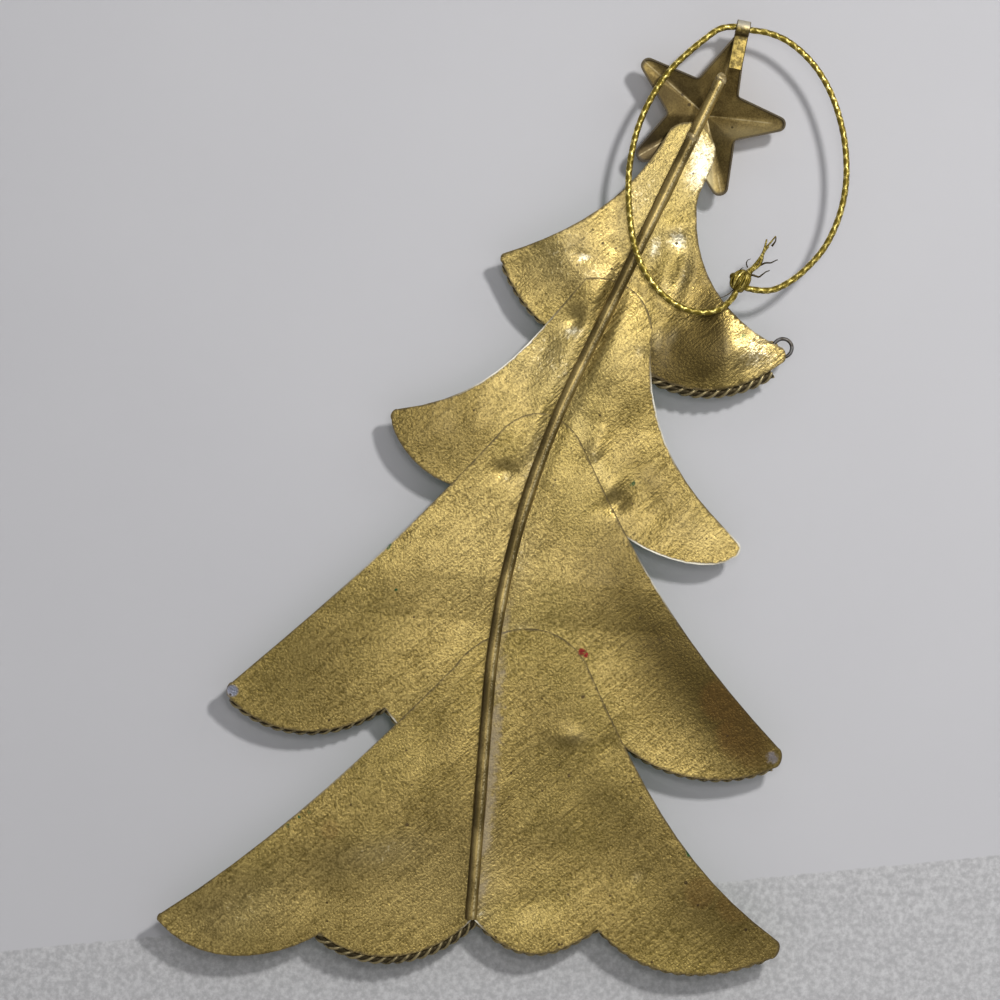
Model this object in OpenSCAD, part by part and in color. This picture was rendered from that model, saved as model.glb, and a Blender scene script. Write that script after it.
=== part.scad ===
// Sheet-metal christmas tree ornament, seen and drawn from its back.
// X runs to the right in that view, Y from the back towards the decorated front, Z up.
// The origin is the middle of the hanger's eye. Every size is in millimetres.

/* [Sheet] */
// Thickness of the four tier sheets
sheet_t = 0.5; // [0.4:0.05:0.8]
// Space between two sheets where they lap
lap_clear = 0.05; // [0.02:0.01:0.2]
// Height of the bend that steps a sheet forward over the next crown
step_h = 12; // [8:0.5:16]
// Space between that bend and the crown under it
step_room = 0.5; // [0.4:0.1:1.5]

/* [Top tier] */
// Width of the top tier from tip to tip
top_w = 75; // [68:0.5:82]
// Height of the top tier from crown to hem
top_h = 70.6; // [66:0.2:76]
// Drop from the eye to the top tier's crown
top_drop = 24.5; // [23:0.1:26]

/* [Upper tier] */
// Width of the upper tier
upper_w = 92; // [84:0.5:100]
// Height of the upper tier
upper_h = 77.4; // [73:0.2:82]
// Drop from the eye to the upper tier's crown
upper_drop = 63.1; // [61:0.1:65]

/* [Lower tier] */
// Width of the lower tier
lower_w = 146; // [134:0.5:158]
// Height of the lower tier
lower_h = 97; // [92:0.2:102]
// Drop from the eye to the lower tier's crown
lower_drop = 100.4; // [98:0.1:103]

/* [Bottom tier] */
// Width of the bottom tier
bottom_w = 163.6; // [150:0.2:176]
// Height of the bottom tier
bottom_h = 90.3; // [88:0.1:96]
// Drop from the eye to the bottom tier's crown
bottom_drop = 157.4; // [155:0.1:160]

/* [Stem rod] */
// Diameter of the rod that carries the tiers
stem_d = 3.2; // [2.6:0.1:3.6]
// Straight length below the star
stem_top_l = 85.8; // [83:0.1:88]
// Height of the rod's foot over the bottom tier's lowest line
foot_rise = 14.7; // [12:0.1:18]
// Lean of the upper straight from the vertical, in degrees
stem_top_lean = 26; // [25:0.1:27]
// Lean of the lower straight from the vertical, in degrees
stem_foot_lean = 4.5; // [4:0.1:5.5]
// Radius of the bend between the straights
stem_bend_r = 237; // [232:0.5:242]
// How much the rod is upset where the bend begins and ends
stem_upset = 0.03; // [0.02:0.01:0.05]
// Height of the rod's end over the middle of the star
stem_rise = 8.6; // [8:0.1:9.5]
// How far right of the star's middle the rod ends
stem_side = 3.2; // [2.6:0.1:3.8]

/* [Star] */
// Radius of the star to its points, before they are cut round
star_r = 24.2; // [22:0.1:24.6]
// Radius of the star to its notches
star_notch_r = 9.8; // [9:0.1:11]
// Depth of the pressed hollow
star_depth = 6.5; // [5:0.1:8]
// Height of the rim under the facets
star_rim_h = 0.8; // [0.6:0.1:1.2]
// Wall of the star, measured across its rim
star_wall = 0.5; // [0.4:0.05:0.8]
// Length of each side that the rounding of a point takes
star_tip_cut = 3.9; // [3:0.1:4.6]
// Turn of the star and of its place under the eye, in degrees
star_turn = 22.5; // [21:0.1:24]
// Distance from the eye to the middle of the star
star_reach = 24.2; // [23.8:0.1:25]

/* [Hanger strap] */
// Bore of the curled eye
eye_bore = 3; // [2.8:0.1:3.4]
// Thickness of the strap
strap_t = 0.6; // [0.5:0.05:0.8]
// Width of the strap
strap_w = 3.7; // [3.2:0.1:4.2]
// Length of the strap below the eye's middle
strap_l = 10.6; // [9:0.1:12]
// Lean of the strap, in degrees
strap_lean = 11.3; // [9:0.1:13]
// How far the curl goes round, in degrees
curl_angle = 305; // [290:1:308]

/* [Rope trim] */
// Diameter of the twisted rope
rope_d = 3; // [2.4:0.1:3.4]
// Distance along the rope from one strand to the next
strand_pitch = 3.1; // [2.6:0.1:3.8]
// Depth of the groove between strands
groove_d = 0.55; // [0.3:0.05:0.7]
// Length of the rope's bend through a notch of the hem
notch_bend = 5; // [4:0.2:7]
// Distance from the tier's tips to the rope's ends
rope_end = 0.8; // [0.4:0.1:2]

/* [Tip ring] */
// Wire of the ring on the top tier's right tip
ring_wire = 1; // [0.8:0.05:1.1]
// Outer diameter of that ring
ring_d = 5.9; // [5.4:0.1:6.4]
// How far the ring's middle stands above the tip's lower corner
ring_rise = 3.9; // [3.6:0.1:4.4]
// Space between the ring and the rope's end
ring_room = 1.9; // [1.6:0.1:3]

/* [Solder] */
// Width of a seam beside the rod, measured from the rod's middle line
seam_w = 2.1; // [1.9:0.05:2.4]
// Narrow space left under the rod
seam_gap = 0.45; // [0.3:0.05:0.6]
// Length of one seam
seam_l = 16; // [10:0.5:20]
// Radius of the blobs on the rod's top end and on the top tier's crown
blob_r = 2; // [1.8:0.05:2.4]
// Radius of the dome that holds the ring
dome_r = 1.9; // [1.6:0.1:2.1]

/* [Cord] */
// Diameter of the hanging cord
cord_d = 1.8; // [1.4:0.1:2]
// Diameter of the knot
knot_d = 5.6; // [4.8:0.1:6]
// Diameter of the long tail past the knot
tail_d = 1.5; // [1.2:0.1:1.7]
// Diameter of the short tail
short_tail_d = 0.9; // [0.7:0.1:1.1]

/* [Hidden] */

// Cuts run past the faces that they open by this much
over = 1;
// Facets of true round features, and of the small round corners
round_fn = 48;
// Points on each curve of an outline, and on each lobe that a rope follows
curve_steps = 11;
lobe_steps = 24;
// Sides of the cord's tube
cord_sides = 8;
// Strands of the rope, with a ridge and a groove point for each, and rings from strand to strand
strands = 3;
rings_per_strand = 3;
// Spacing of the points that the rope's path is smoothed on
path_step = 0.5;

// Depths: the strap's front face, the star's rim and the crowns' front faces are one plane
eye_r = eye_bore / 2;
curl_r = eye_r + strap_t;
rim_y = curl_r;
back_y = rim_y - sheet_t;
stem_r = stem_d / 2;
stem_y = back_y - stem_r;
step_y = sheet_t + lap_clear;
skirt_front_y = back_y + step_y + sheet_t;
bottom_front_y = back_y + sheet_t;
rope_r = rope_d / 2;

// Places in the XZ plane
star_at = -star_reach * [sin(star_turn), cos(star_turn)];
stem_bend = stem_top_lean - stem_foot_lean;
stem_end = star_at + [stem_side, stem_rise];
bend_start = stem_end - stem_top_l * [sin(stem_top_lean), cos(stem_top_lean)];
bend_middle = bend_start + stem_bend_r * [cos(stem_top_lean), -sin(stem_top_lean)];
bend_end = bend_middle - stem_bend_r * [cos(stem_foot_lean), -sin(stem_foot_lean)];
stem_foot_l = (bend_end.y + bottom_drop + bottom_h - foot_rise) / cos(stem_foot_lean);

// Where the rod's middle line passes a height z
function stem_x(z) =
    z > bend_start.y ? stem_end.x - (stem_end.y - z) * tan(stem_top_lean)
    : z < bend_end.y ? bend_end.x - (bend_end.y - z) * tan(stem_foot_lean)
    : bend_middle.x - sqrt(stem_bend_r ^ 2 - (z - bend_middle.y) ^ 2);
// The rod's lean at that height
function stem_lean(z) =
    z > bend_start.y ? stem_top_lean
    : z < bend_end.y ? stem_foot_lean
    : asin((z - bend_middle.y) / stem_bend_r);

// Outlines. A row is a corner, across and down from the crown in shares of the tier's width and
// height, and the two handles of the curve to the next corner, along and out from its chord in
// shares of the chord. The rows go along the hem from the left tip, round the right tip, up the
// right side, over the crown and down the left side.
top_shares = [
    [-0.658, 0.521, 0.58, 0.35, 0.93, 0.14],
    [-0.322, 0.796, 0.29, 0.19, 0.64, 0.36],
    [0.325, 0.896, 0.10, 0.35, 0.90, 0.35],
    [0.318, 0.837, 0.30, -0.20, 0.68, -0.22],
    [0.024, 0.335, 0.32, -0.13, 0.65, 0.11],
    [0.091, 0.097, 0.36, 0.44, 0.79, 0.37],
    [-0.066, 0.022, 0.31, -0.14, 0.61, -0.14],
    [-0.651, 0.487, 0.10, 0.35, 0.90, 0.35]];
upper_shares = [
    [-0.658, 0.509, 0.05, 0.10, 0.58, 0.42],
    [-0.350, 0.736, 0.15, 0.25, 0.78, 0.26],
    [-0.026, 0.851, 0.10, 0.18, 0.84, 0.24],
    [0.319, 0.980, 0.10, 0.35, 0.90, 0.35],
    [0.333, 0.929, 0.15, -0.05, 0.52, -0.27],
    [0.088, 0.207, 0.35, 0.38, 0.80, 0.22],
    [-0.103, 0.031, 0.37, -0.09, 0.63, -0.20],
    [-0.641, 0.475, 0.10, 0.35, 0.90, 0.35]];
lower_shares = [
    [-0.561, 0.774, 0.16, 0.17, 0.57, 0.32],
    [-0.280, 0.804, 0.31, 0.37, 0.71, 0.36],
    [-0.093, 0.847, 0.31, 0.36, 0.83, 0.20],
    [0.137, 0.891, 0.30, 0.20, 0.72, 0.20],
    [0.421, 0.967, 0.10, 0.35, 0.90, 0.35],
    [0.428, 0.912, 0.40, -0.07, 0.64, -0.05],
    [0.074, 0.087, 0.16, 0.20, 0.60, 0.50],
    [-0.063, 0.041, 0.35, -0.03, 0.64, -0.02],
    [-0.555, 0.734, 0.10, 0.35, 0.90, 0.35]];
bottom_shares = [
    [-0.597, 0.852, 0.30, 0.30, 0.76, 0.17],
    [-0.337, 0.890, 0.35, 0.33, 0.80, 0.18],
    [-0.091, 0.846, 0.38, 0.36, 0.65, 0.28],
    [0.109, 0.878, 0.26, 0.20, 0.56, 0.26],
    [0.387, 0.963, 0.10, 0.35, 0.90, 0.35],
    [0.398, 0.910, 0.32, -0.11, 0.58, -0.08],
    [0.091, 0.102, 0.26, 0.47, 0.84, 0.25],
    [-0.120, 0.111, 0.15, -0.01, 0.59, -0.06],
    [-0.592, 0.829, 0.10, 0.35, 0.90, 0.35]];
// How far the rope's middle lies outside the edge of each lobe, as a share of the rope's radius
top_out_shares = [-0.5, 0.45];
upper_out_shares = [-1, -1, -1];
lower_out_shares = [-0.25, -0.5, -0.5, -0.5];
bottom_out_shares = [-1, 0.45, -0.5, -0.6];

// A tier is its width, height, drop, the crown's place beside the rod as a share of the width,
// its outline, the rope's places, and the drop of the next crown, which is nothing at the bottom
tier_data = [
    [top_w, top_h, top_drop, -0.035, top_shares, top_out_shares, upper_drop],
    [upper_w, upper_h, upper_drop, -0.018, upper_shares, upper_out_shares, lower_drop],
    [lower_w, lower_h, lower_drop, -0.035, lower_shares, lower_out_shares, bottom_drop],
    [bottom_w, bottom_h, bottom_drop, 0.053, bottom_shares, bottom_out_shares, 0]];
// The bend of a sheet leans with the rod by this share of the rod's lean
step_lean_share = 0.5;

function crown_at(tier) = [stem_x(-tier[2]) + tier[3] * tier[0], -tier[2]];
function corners(tier) =
    [for (row = tier[4]) crown_at(tier) + [row[0] * tier[0], -row[1] * tier[1]]];
// Rows before the right tip belong to the hem, one for each of the rope's places
function lobes(tier) = len(tier[5]);

// A cubic curve from a to b with its handles at shares [along, out, along, out] of the chord
function curve_point(a, b, h, u) =
    let (d = b - a, out = [d.y, -d.x],
        p = a + h[0] * d + h[1] * out, q = a + h[2] * d + h[3] * out)
    (1 - u) ^ 3 * a + 3 * (1 - u) ^ 2 * u * p + 3 * (1 - u) * u ^ 2 * q + u ^ 3 * b;
function handles(row) = [row[2], row[3], row[4], row[5]];
function outline(tier) =
    let (c = corners(tier), n = len(c))
    [for (i = [0:n - 1], k = [0:curve_steps - 1])
        curve_point(c[i], c[(i + 1) % n], handles(tier[4][i]), k / curve_steps)];

// Lengths along a path, a point at a length along it, and the path again in even steps
function lengths(p) =
    [for (i = 0, s = 0; i < len(p); s = s + (i + 1 < len(p) ? norm(p[i + 1] - p[i]) : 0), i = i + 1) s];
function point_at(p, along, s) =
    [lookup(s, [for (i = [0:len(p) - 1]) [along[i], p[i].x]]),
        lookup(s, [for (i = [0:len(p) - 1]) [along[i], p[i].y]])];
function evenly(p, from_end, to_end, step) =
    let (along = lengths(p), total = along[len(p) - 1] - from_end - to_end,
        n = max(2, round(total / step)))
    [for (i = [0:n]) point_at(p, along, from_end + total * i / n)];
function mean(p, a, b) =
    let (one = [for (i = [a:b]) 1])
    one * [for (i = [a:b]) p[i]] / (b - a + 1);
function smooth(p, k) =
    let (n = len(p) - 1)
    [for (i = [0:n]) let (m = min(k, i, n - i)) mean(p, i - m, i + m)];

// The rope's middle line: the hem's lobes moved out, with their notches bent round
function hem_path(tier, right_end) =
    let (c = corners(tier),
        raw = [for (i = [0:lobes(tier) - 1], k = [0:lobe_steps])
            let (h = handles(tier[4][i]), u = k / lobe_steps,
                here = curve_point(c[i], c[i + 1], h, u),
                ahead = curve_point(c[i], c[i + 1], h, min(1, u + 1 / lobe_steps)),
                behind = curve_point(c[i], c[i + 1], h, max(0, u - 1 / lobe_steps)),
                d = (ahead - behind) / norm(ahead - behind))
            here + tier[5][i] * rope_r * [d.y, -d.x]],
        even = evenly(raw, 0, 0, path_step))
    evenly(smooth(smooth(even, round(notch_bend / 4 / path_step)),
        round(notch_bend / 4 / path_step)), rope_end, right_end, strand_pitch / rings_per_strand);

// Triangles of a closed tube made of rings of points
function tube_faces(rings, sides) = concat(
    [for (i = [0:rings - 2], k = [0:sides - 1])
        let (a = i * sides + k, b = i * sides + (k + 1) % sides) each
        [[a, b, b + sides], [a, b + sides, a + sides]]],
    [for (k = [1:sides - 2]) [0, k + 1, k]],
    [for (k = [1:sides - 2]) let (e = (rings - 1) * sides) [e, e + k, e + k + 1]]);

// Draws in the XZ plane and thickens towards the front, from depth y
module upright(y, t) {
    translate([0, y + t, 0]) rotate([90, 0, 0]) linear_extrude(t) children();
}

// The side view of a sheet that steps forward, drawn down from the height of the next crown
module stepped_profile(up, down, across) {
    rotate([90, 0, 90]) linear_extrude(across, center = true) polygon([
        [back_y, up],
        [back_y, step_room + step_h],
        [back_y + step_y, step_room],
        [back_y + step_y, -down],
        [back_y + step_y + sheet_t, -down],
        [back_y + step_y + sheet_t, step_room],
        [back_y + sheet_t, step_room + step_h],
        [back_y + sheet_t, up]]);
}

module tier(i) {
    t = tier_data[i];
    color([0.72, 0.6, 0.26])
    if (t[6] == 0) {
        upright(back_y, sheet_t) polygon(outline(t));
    } else {
        next = crown_at(tier_data[i + 1]);
        intersection() {
            upright(back_y - over, step_y + sheet_t + 2 * over) polygon(outline(t));
            translate([next.x, 0, next.y]) rotate([0, step_lean_share * stem_lean(next.y), 0])
                stepped_profile(t[1], t[1], 3 * t[0]);
        }
    }
}
module tier_top() { tier(0); }
module tier_upper() { tier(1); }
module tier_lower() { tier(2); }
module tier_bottom() { tier(3); }

// A rope of twisted wires: a section with a ridge for each strand, turned as it runs
module rope(i, front_y, right_end) {
    path = hem_path(tier_data[i], right_end);
    n = len(path);
    sides = 2 * strands;
    turn = 360 / strands / rings_per_strand;
    ring = [for (j = [0:n - 1])
        let (d = path[min(n - 1, j + 1)] - path[max(0, j - 1)], t = d / norm(d))
        for (k = [0:sides - 1])
            let (a = 360 * k / sides + turn * j, r = k % 2 == 0 ? rope_r : rope_r - groove_d)
            [path[j].x + r * cos(a) * t.y, front_y + rope_r + r * sin(a),
                path[j].y - r * cos(a) * t.x]];
    color([0.45, 0.36, 0.18]) polyhedron(ring, tube_faces(n, sides));
}
module rope_top() { rope(0, skirt_front_y, ring_d / 2 + ring_room - ring_wire); }
module rope_upper() { rope(1, skirt_front_y, rope_end); }
module rope_lower() { rope(2, skirt_front_y, rope_end); }
module rope_bottom() { rope(3, bottom_front_y, rope_end); }

// Runs of the stem: a section drawn across and in depth is carried along each
module along_top(from, length) {
    at = stem_end - (from + length) * [sin(stem_top_lean), cos(stem_top_lean)];
    translate([at.x, stem_y, at.y]) rotate([0, stem_top_lean, 0]) linear_extrude(length) children();
}
module along_bend(from_angle, angle) {
    translate([bend_middle.x, stem_y, bend_middle.y]) rotate([-90, 0, 0])
        rotate([0, 0, 180 + stem_top_lean - from_angle - angle])
        rotate_extrude(angle = angle, $fn = 8 * round_fn) translate([stem_bend_r, 0]) children();
}
module along_foot(from, length) {
    at = bend_end - (from + length) * [sin(stem_foot_lean), cos(stem_foot_lean)];
    translate([at.x, stem_y, at.y]) rotate([0, stem_foot_lean, 0]) linear_extrude(length) children();
}
module stem_rod() {
    color([0.5, 0.4, 0.2]) {
        along_top(0, stem_top_l) circle(r = stem_r, $fn = round_fn);
        along_bend(0, stem_bend) circle(r = stem_r, $fn = round_fn);
        along_foot(0, stem_foot_l) circle(r = stem_r, $fn = round_fn);
        // the slight upset that bending leaves at each end of the bend
        for (p = [bend_start, bend_end])
            translate([p.x, stem_y, p.y]) sphere(r = stem_r + stem_upset, $fn = round_fn);
    }
}

// How far under a crown a seam starts, in shares of its length, and on the bend and the foot, in
// shares of those runs
seam_share_top = 0.7;
seam_share_upper = 0.35;
seam_run_share = 0.3;

// The fillets of solder between the rod and a sheet, one on each side
module seam_section() {
    difference() {
        for (side = [-1, 1])
            polygon([[side * seam_gap, 0], [side * seam_gap, stem_r],
                [side * seam_w, stem_r], [side * stem_r * cos(45), 0]]);
        circle(r = stem_r, $fn = round_fn);
    }
}
module stem_solder() {
    below_top = (stem_end.y + top_drop) / cos(stem_top_lean) + seam_share_top * seam_l;
    below_upper = (stem_end.y + upper_drop) / cos(stem_top_lean) + seam_share_upper * seam_l;
    color([0.6, 0.58, 0.5]) {
        // under the crowns of the top and the upper tier
        along_top(below_top, seam_l) seam_section();
        along_top(below_upper, seam_l) seam_section();
        // on the bend, under the lower tier's crown, and on the foot
        along_bend(seam_run_share * stem_bend, seam_l / stem_bend_r * 180 / PI) seam_section();
        along_foot(seam_run_share * stem_foot_l, seam_l) seam_section();
    }
}

// A five-pointed outline with its points cut round
function star_corner(i) =
    let (a = 90 - star_turn + 36 * i) (i % 2 == 0 ? star_r : star_notch_r) * [cos(a), sin(a)];
function star_side(a, b) = a + star_tip_cut * (b - a) / norm(b - a);
star_tip_steps = 4;
star_outline = [for (i = [0:9])
    let (p = star_corner(i), a = star_side(p, star_corner(i - 1)), b = star_side(p, star_corner(i + 1)))
    each i % 2 == 1 ? [p] : [for (k = [0:star_tip_steps]) let (u = k / star_tip_steps)
        (1 - u) ^ 2 * a + 2 * (1 - u) * u * p + u ^ 2 * b]];
// Distance of the star's edges from its middle, which a wall makes less by its thickness
star_edge_r = star_r * star_notch_r * sin(36)
    / norm(star_r * [1, 0] - star_notch_r * [cos(36), sin(36)]);
module star_form(share, y0, rim, depth) {
    translate([star_at.x, y0, star_at.y]) rotate([-90, 0, 0]) mirror([0, 1, 0]) scale([share, share, 1]) {
        linear_extrude(rim) polygon(star_outline);
        translate([0, 0, rim]) linear_extrude(depth, scale = 0) polygon(star_outline);
    }
}
module star() {
    share = 1 - star_wall / star_edge_r;
    color([0.5, 0.4, 0.22]) difference() {
        star_form(1, rim_y, star_rim_h, star_depth - star_rim_h);
        star_form(share, rim_y - over, star_rim_h + over, share * (star_depth - star_rim_h));
    }
}

// The strap's side view: a flat strip whose end is curled towards the back
module strap_profile() {
    difference() {
        circle(r = curl_r, $fn = round_fn);
        circle(r = eye_r, $fn = round_fn);
        polygon(concat([[0, 0]], [for (k = [0:4])
            let (a = curl_angle + (360 - curl_angle) * k / 4) 2 * curl_r * [cos(a), sin(a)]]));
    }
    translate([eye_r, -strap_l]) square([strap_t, strap_l]);
}
module hanger_strap() {
    color([0.62, 0.52, 0.25]) rotate([0, strap_lean, 0]) rotate([90, 0, 90])
        linear_extrude(strap_w, center = true) strap_profile();
}

// The ring stands on the front of the top tier's right tip
tip_corner = corners(tier_data[0])[lobes(tier_data[0])];
ring_at = [tip_corner.x, skirt_front_y + ring_wire / 2, tip_corner.y + ring_rise];
module round_ring() {
    translate(ring_at) rotate([90, 0, 0]) rotate_extrude($fn = 2 * round_fn)
        translate([(ring_d - ring_wire) / 2, 0]) children();
}
module tip_ring() {
    color([0.55, 0.56, 0.56]) round_ring() circle(r = ring_wire / 2, $fn = round_fn);
}
// A dome of solder over the ring's inner side, with a groove for the wire
dome_sink_share = 0.1;
module ring_solder() {
    dome_at = ring_at - [ring_d / 2, ring_wire / 2 + dome_sink_share * dome_r, 0];
    color([0.6, 0.58, 0.5]) difference() {
        translate(dome_at) sphere(r = dome_r, $fn = round_fn);
        translate([dome_at.x, skirt_front_y - dome_r, dome_at.z])
            cube([3 * dome_r, 2 * dome_r, 3 * dome_r], center = true);
        round_ring() {
            circle(r = ring_wire / 2, $fn = round_fn);
            translate([-ring_wire / 2, 0]) square([ring_wire, ring_wire]);
        }
    }
}

// The blob that caps the rod's end
module rod_end_solder() {
    cap = stem_end + stem_r / 3 * [sin(stem_top_lean), cos(stem_top_lean)];
    color([0.66, 0.62, 0.5]) difference() {
        translate([cap.x, stem_y, cap.y]) sphere(r = blob_r, $fn = round_fn);
        along_top(0, stem_top_l) circle(r = stem_r, $fn = round_fn);
    }
}
// The blob that runs over the rod on the top tier's crown. Its middle lies under the crown by so
// many radii of the rod, and a narrow space stays open under the rod.
blob_drop_share = 2.75;
module crown_solder() {
    down = (stem_end.y + top_drop) / cos(stem_top_lean) + blob_drop_share * stem_r;
    at = stem_end - down * [sin(stem_top_lean), cos(stem_top_lean)];
    color([0.66, 0.62, 0.5]) difference() {
        translate([at.x, stem_y, at.y]) sphere(r = blob_r, $fn = round_fn);
        translate([at.x, back_y + blob_r, at.y]) cube(2 * blob_r, center = true);
        along_top(0, stem_top_l) circle(r = stem_r, $fn = round_fn);
        along_top(down - blob_r, 2 * blob_r) translate([-seam_gap, 0]) square([2 * seam_gap, blob_r]);
    }
}

// The cord's route, from the eye to the knot on each side. A metallic cord keeps its own round
// loop: it leaves the eye along the bore, hangs down over the stem rod and turns up to the knot.
eye_side = [cos(strap_lean), 0, -sin(strap_lean)];
left_route = [
    [0, 0, 0], -2.4 * eye_side, [-6.3, -0.3, -0.2], [-10.3, -0.5, -3], [-14.2, -0.7, -6.2],
    [-18.6, -0.9, -10.4], [-22.3, -1.2, -15.3], [-25.3, -1.5, -20.6], [-27.6, -1.8, -26.2],
    [-29.1, -2.1, -32], [-30, -2.4, -38], [-30.1, -2.7, -44], [-29.7, -3, -50],
    [-28.8, -3.2, -56], [-26.9, -3.3, -61.8], [-23.6, -3.3, -67.2], [-19.4, -3.2, -71.4],
    [-14.4, -3.1, -74], [-9.4, -3, -74.6], [-5.6, -2.9, -73.3], [-3, -2.9, -71], [-1.9, -2.9, -69]];
right_route = [
    [0, 0, 0], 2.4 * eye_side, [6.6, -0.3, -1.2], [11.4, -0.5, -3.2], [16, -0.7, -6.8],
    [19.9, -0.9, -11.4], [22.9, -1.2, -16.8], [25, -1.5, -22.6], [26.4, -1.8, -28.6],
    [27, -2, -34.6], [26.9, -2.3, -40.6], [25.9, -2.5, -46.6], [24, -2.7, -52.3],
    [21.1, -2.8, -57.8], [17, -2.9, -62.6], [12.4, -2.9, -66.4], [7.2, -2.9, -68.8],
    [1.4, -2.9, -68.4]];
knot_at = [-0.8, -2.9, -66.3];
long_tail = [[1.2, -2.9, -64.2], [3.7, -3.3, -61.6], [5.5, -3.8, -59.2], [6.6, -4.1, -56.8],
    [8.1, -4.2, -54.7]];
short_tail = [[1.8, -2.9, -65.6], [5, -3.1, -64.2], [8.9, -3.6, -61]];

// A tube with a ring of points at each point of a route
module cord_tube(route, d) {
    n = len(route);
    ring = [for (j = [0:n - 1])
        let (run = route[min(n - 1, j + 1)] - route[max(0, j - 1)], t = run / norm(run),
            side = cross(t, [0, 1, 0]) / norm(cross(t, [0, 1, 0])), up = cross(side, t))
        for (k = [0:cord_sides - 1]) let (a = 360 * (k + 1 / 2) / cord_sides)
            route[j] + d / 2 * (cos(a) * side + sin(a) * up)];
    polyhedron(ring, tube_faces(n, cord_sides));
}
module cord_left() { color([0.68, 0.58, 0.16]) cord_tube(left_route, cord_d); }
module cord_right() { color([0.68, 0.58, 0.16]) cord_tube(right_route, cord_d); }
module cord_knot() { color([0.62, 0.5, 0.14]) translate(knot_at) sphere(r = knot_d / 2, $fn = round_fn); }
module cord_tails() {
    color([0.68, 0.58, 0.16]) {
        cord_tube(long_tail, tail_d);
        cord_tube(short_tail, short_tail_d);
    }
}

tier_top();
tier_upper();
tier_lower();
tier_bottom();
rope_top();
rope_upper();
rope_lower();
rope_bottom();
stem_rod();
star();
hanger_strap();
tip_ring();
stem_solder();
rod_end_solder();
crown_solder();
ring_solder();
cord_left();
cord_right();
cord_knot();
cord_tails();
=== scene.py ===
# %% [markdown]
# # A sheet-metal tree ornament, seen from its back
# The real ornament is four sheets of thin steel, cut in scalloped tiers and soldered to a bent
# rod. A pressed star and a curled strap sit on top, and a gold cord hangs from the eye. The plain
# back is brushed with gold paint, and that is the side that the camera sees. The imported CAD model
# is the fixed frame: every piece below is built in metres, in that frame, where the CAD has it.
# X runs to the right, Z up, and Y away from the camera towards the decorated front.

import bmesh
import bpy
import numpy as np
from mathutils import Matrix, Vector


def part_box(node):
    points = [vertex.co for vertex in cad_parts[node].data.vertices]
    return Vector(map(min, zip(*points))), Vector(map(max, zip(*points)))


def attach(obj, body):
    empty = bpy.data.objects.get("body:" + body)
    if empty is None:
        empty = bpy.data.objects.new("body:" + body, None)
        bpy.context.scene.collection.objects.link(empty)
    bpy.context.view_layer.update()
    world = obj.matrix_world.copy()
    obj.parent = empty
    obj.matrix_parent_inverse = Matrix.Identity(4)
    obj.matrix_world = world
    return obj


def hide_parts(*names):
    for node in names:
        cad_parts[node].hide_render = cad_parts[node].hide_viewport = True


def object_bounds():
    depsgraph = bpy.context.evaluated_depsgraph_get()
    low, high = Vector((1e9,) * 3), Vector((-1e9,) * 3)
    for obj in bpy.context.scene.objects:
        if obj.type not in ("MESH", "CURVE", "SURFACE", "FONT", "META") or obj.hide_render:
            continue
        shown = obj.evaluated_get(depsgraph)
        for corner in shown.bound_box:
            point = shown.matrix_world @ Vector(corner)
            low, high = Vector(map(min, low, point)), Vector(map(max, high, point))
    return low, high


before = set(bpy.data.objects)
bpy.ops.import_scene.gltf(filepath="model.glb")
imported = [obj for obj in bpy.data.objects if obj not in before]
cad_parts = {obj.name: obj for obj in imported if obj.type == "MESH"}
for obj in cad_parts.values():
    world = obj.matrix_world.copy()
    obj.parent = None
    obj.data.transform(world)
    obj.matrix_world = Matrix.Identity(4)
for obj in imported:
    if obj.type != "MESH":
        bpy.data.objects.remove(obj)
cad_box = [list(corner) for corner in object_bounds()]
MM = 0.001
print("CAD box in mm:", [[round(v / MM, 1) for v in corner] for corner in cad_box])

# %% [markdown]
# ## Places on the ornament
# Marks on the metal are easiest to give as places in a picture of 1000 by 1000 that the camera
# takes straight on. One picture unit is 0.2625 mm on the sheets, and the hanger's eye, which is
# the origin, is at (743, 28.5).

# %% From picture units to the plane of the sheets
PICTURE = 1000
UNIT = 0.2625 * MM
EYE_AT = np.array([743.0, 28.5])


def on_plane(across, down):
    """X and Z in metres of a place in the picture: its distance from the eye, down turned to up."""
    return np.stack([(np.asarray(across) - EYE_AT[0]) * UNIT,
                     (EYE_AT[1] - np.asarray(down)) * UNIT], axis=-1)


middle = on_plane(PICTURE / 2, PICTURE / 2)
print("middle of the picture in mm:", np.round(middle / MM, 1))

# %% [markdown]
# ## Camera
# The ornament was photographed square on, so the camera looks along Y from a distance with a long
# lens. At the plane of the sheets the picture is 1000 units wide, which fixes the lens.

# %% Camera
CAMERA_DISTANCE = 1.5


def placed(name, data):
    """An object of a mesh, a lamp or a camera, put in the scene."""
    thing = bpy.data.objects.new(name, data)
    bpy.context.scene.collection.objects.link(thing)
    return thing


lens = bpy.data.cameras.new("camera")
lens.sensor_width = 36
lens.lens = lens.sensor_width * CAMERA_DISTANCE / (PICTURE * UNIT)
lens.clip_end = 20
camera = placed("camera", lens)
camera.location = (middle[0], -CAMERA_DISTANCE, middle[1])
camera.rotation_euler = (np.pi / 2, 0, 0)
bpy.context.scene.camera = camera
print("lens in mm:", round(lens.lens, 1))

# %% [markdown]
# ## Tools for tubes and meshes
# Most of this ornament is wire, so one tool does much of the work: a section carried along a
# path. The path is an array of points, the section is a ring of points in each point's own
# plane, and all rings together are one array. Meshes are closed, and a closed mesh whose volume
# comes out negative is inside out, so its faces are turned.

# %% Meshes from arrays
def volume(points, triangles):
    """Signed volume: a sixth of the sum of the triple products of every triangle's corners."""
    a, b, c = (points[triangles[:, i]] for i in range(3))
    return np.einsum("ij,ij->i", a, np.cross(b, c)).sum() / 6


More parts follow.
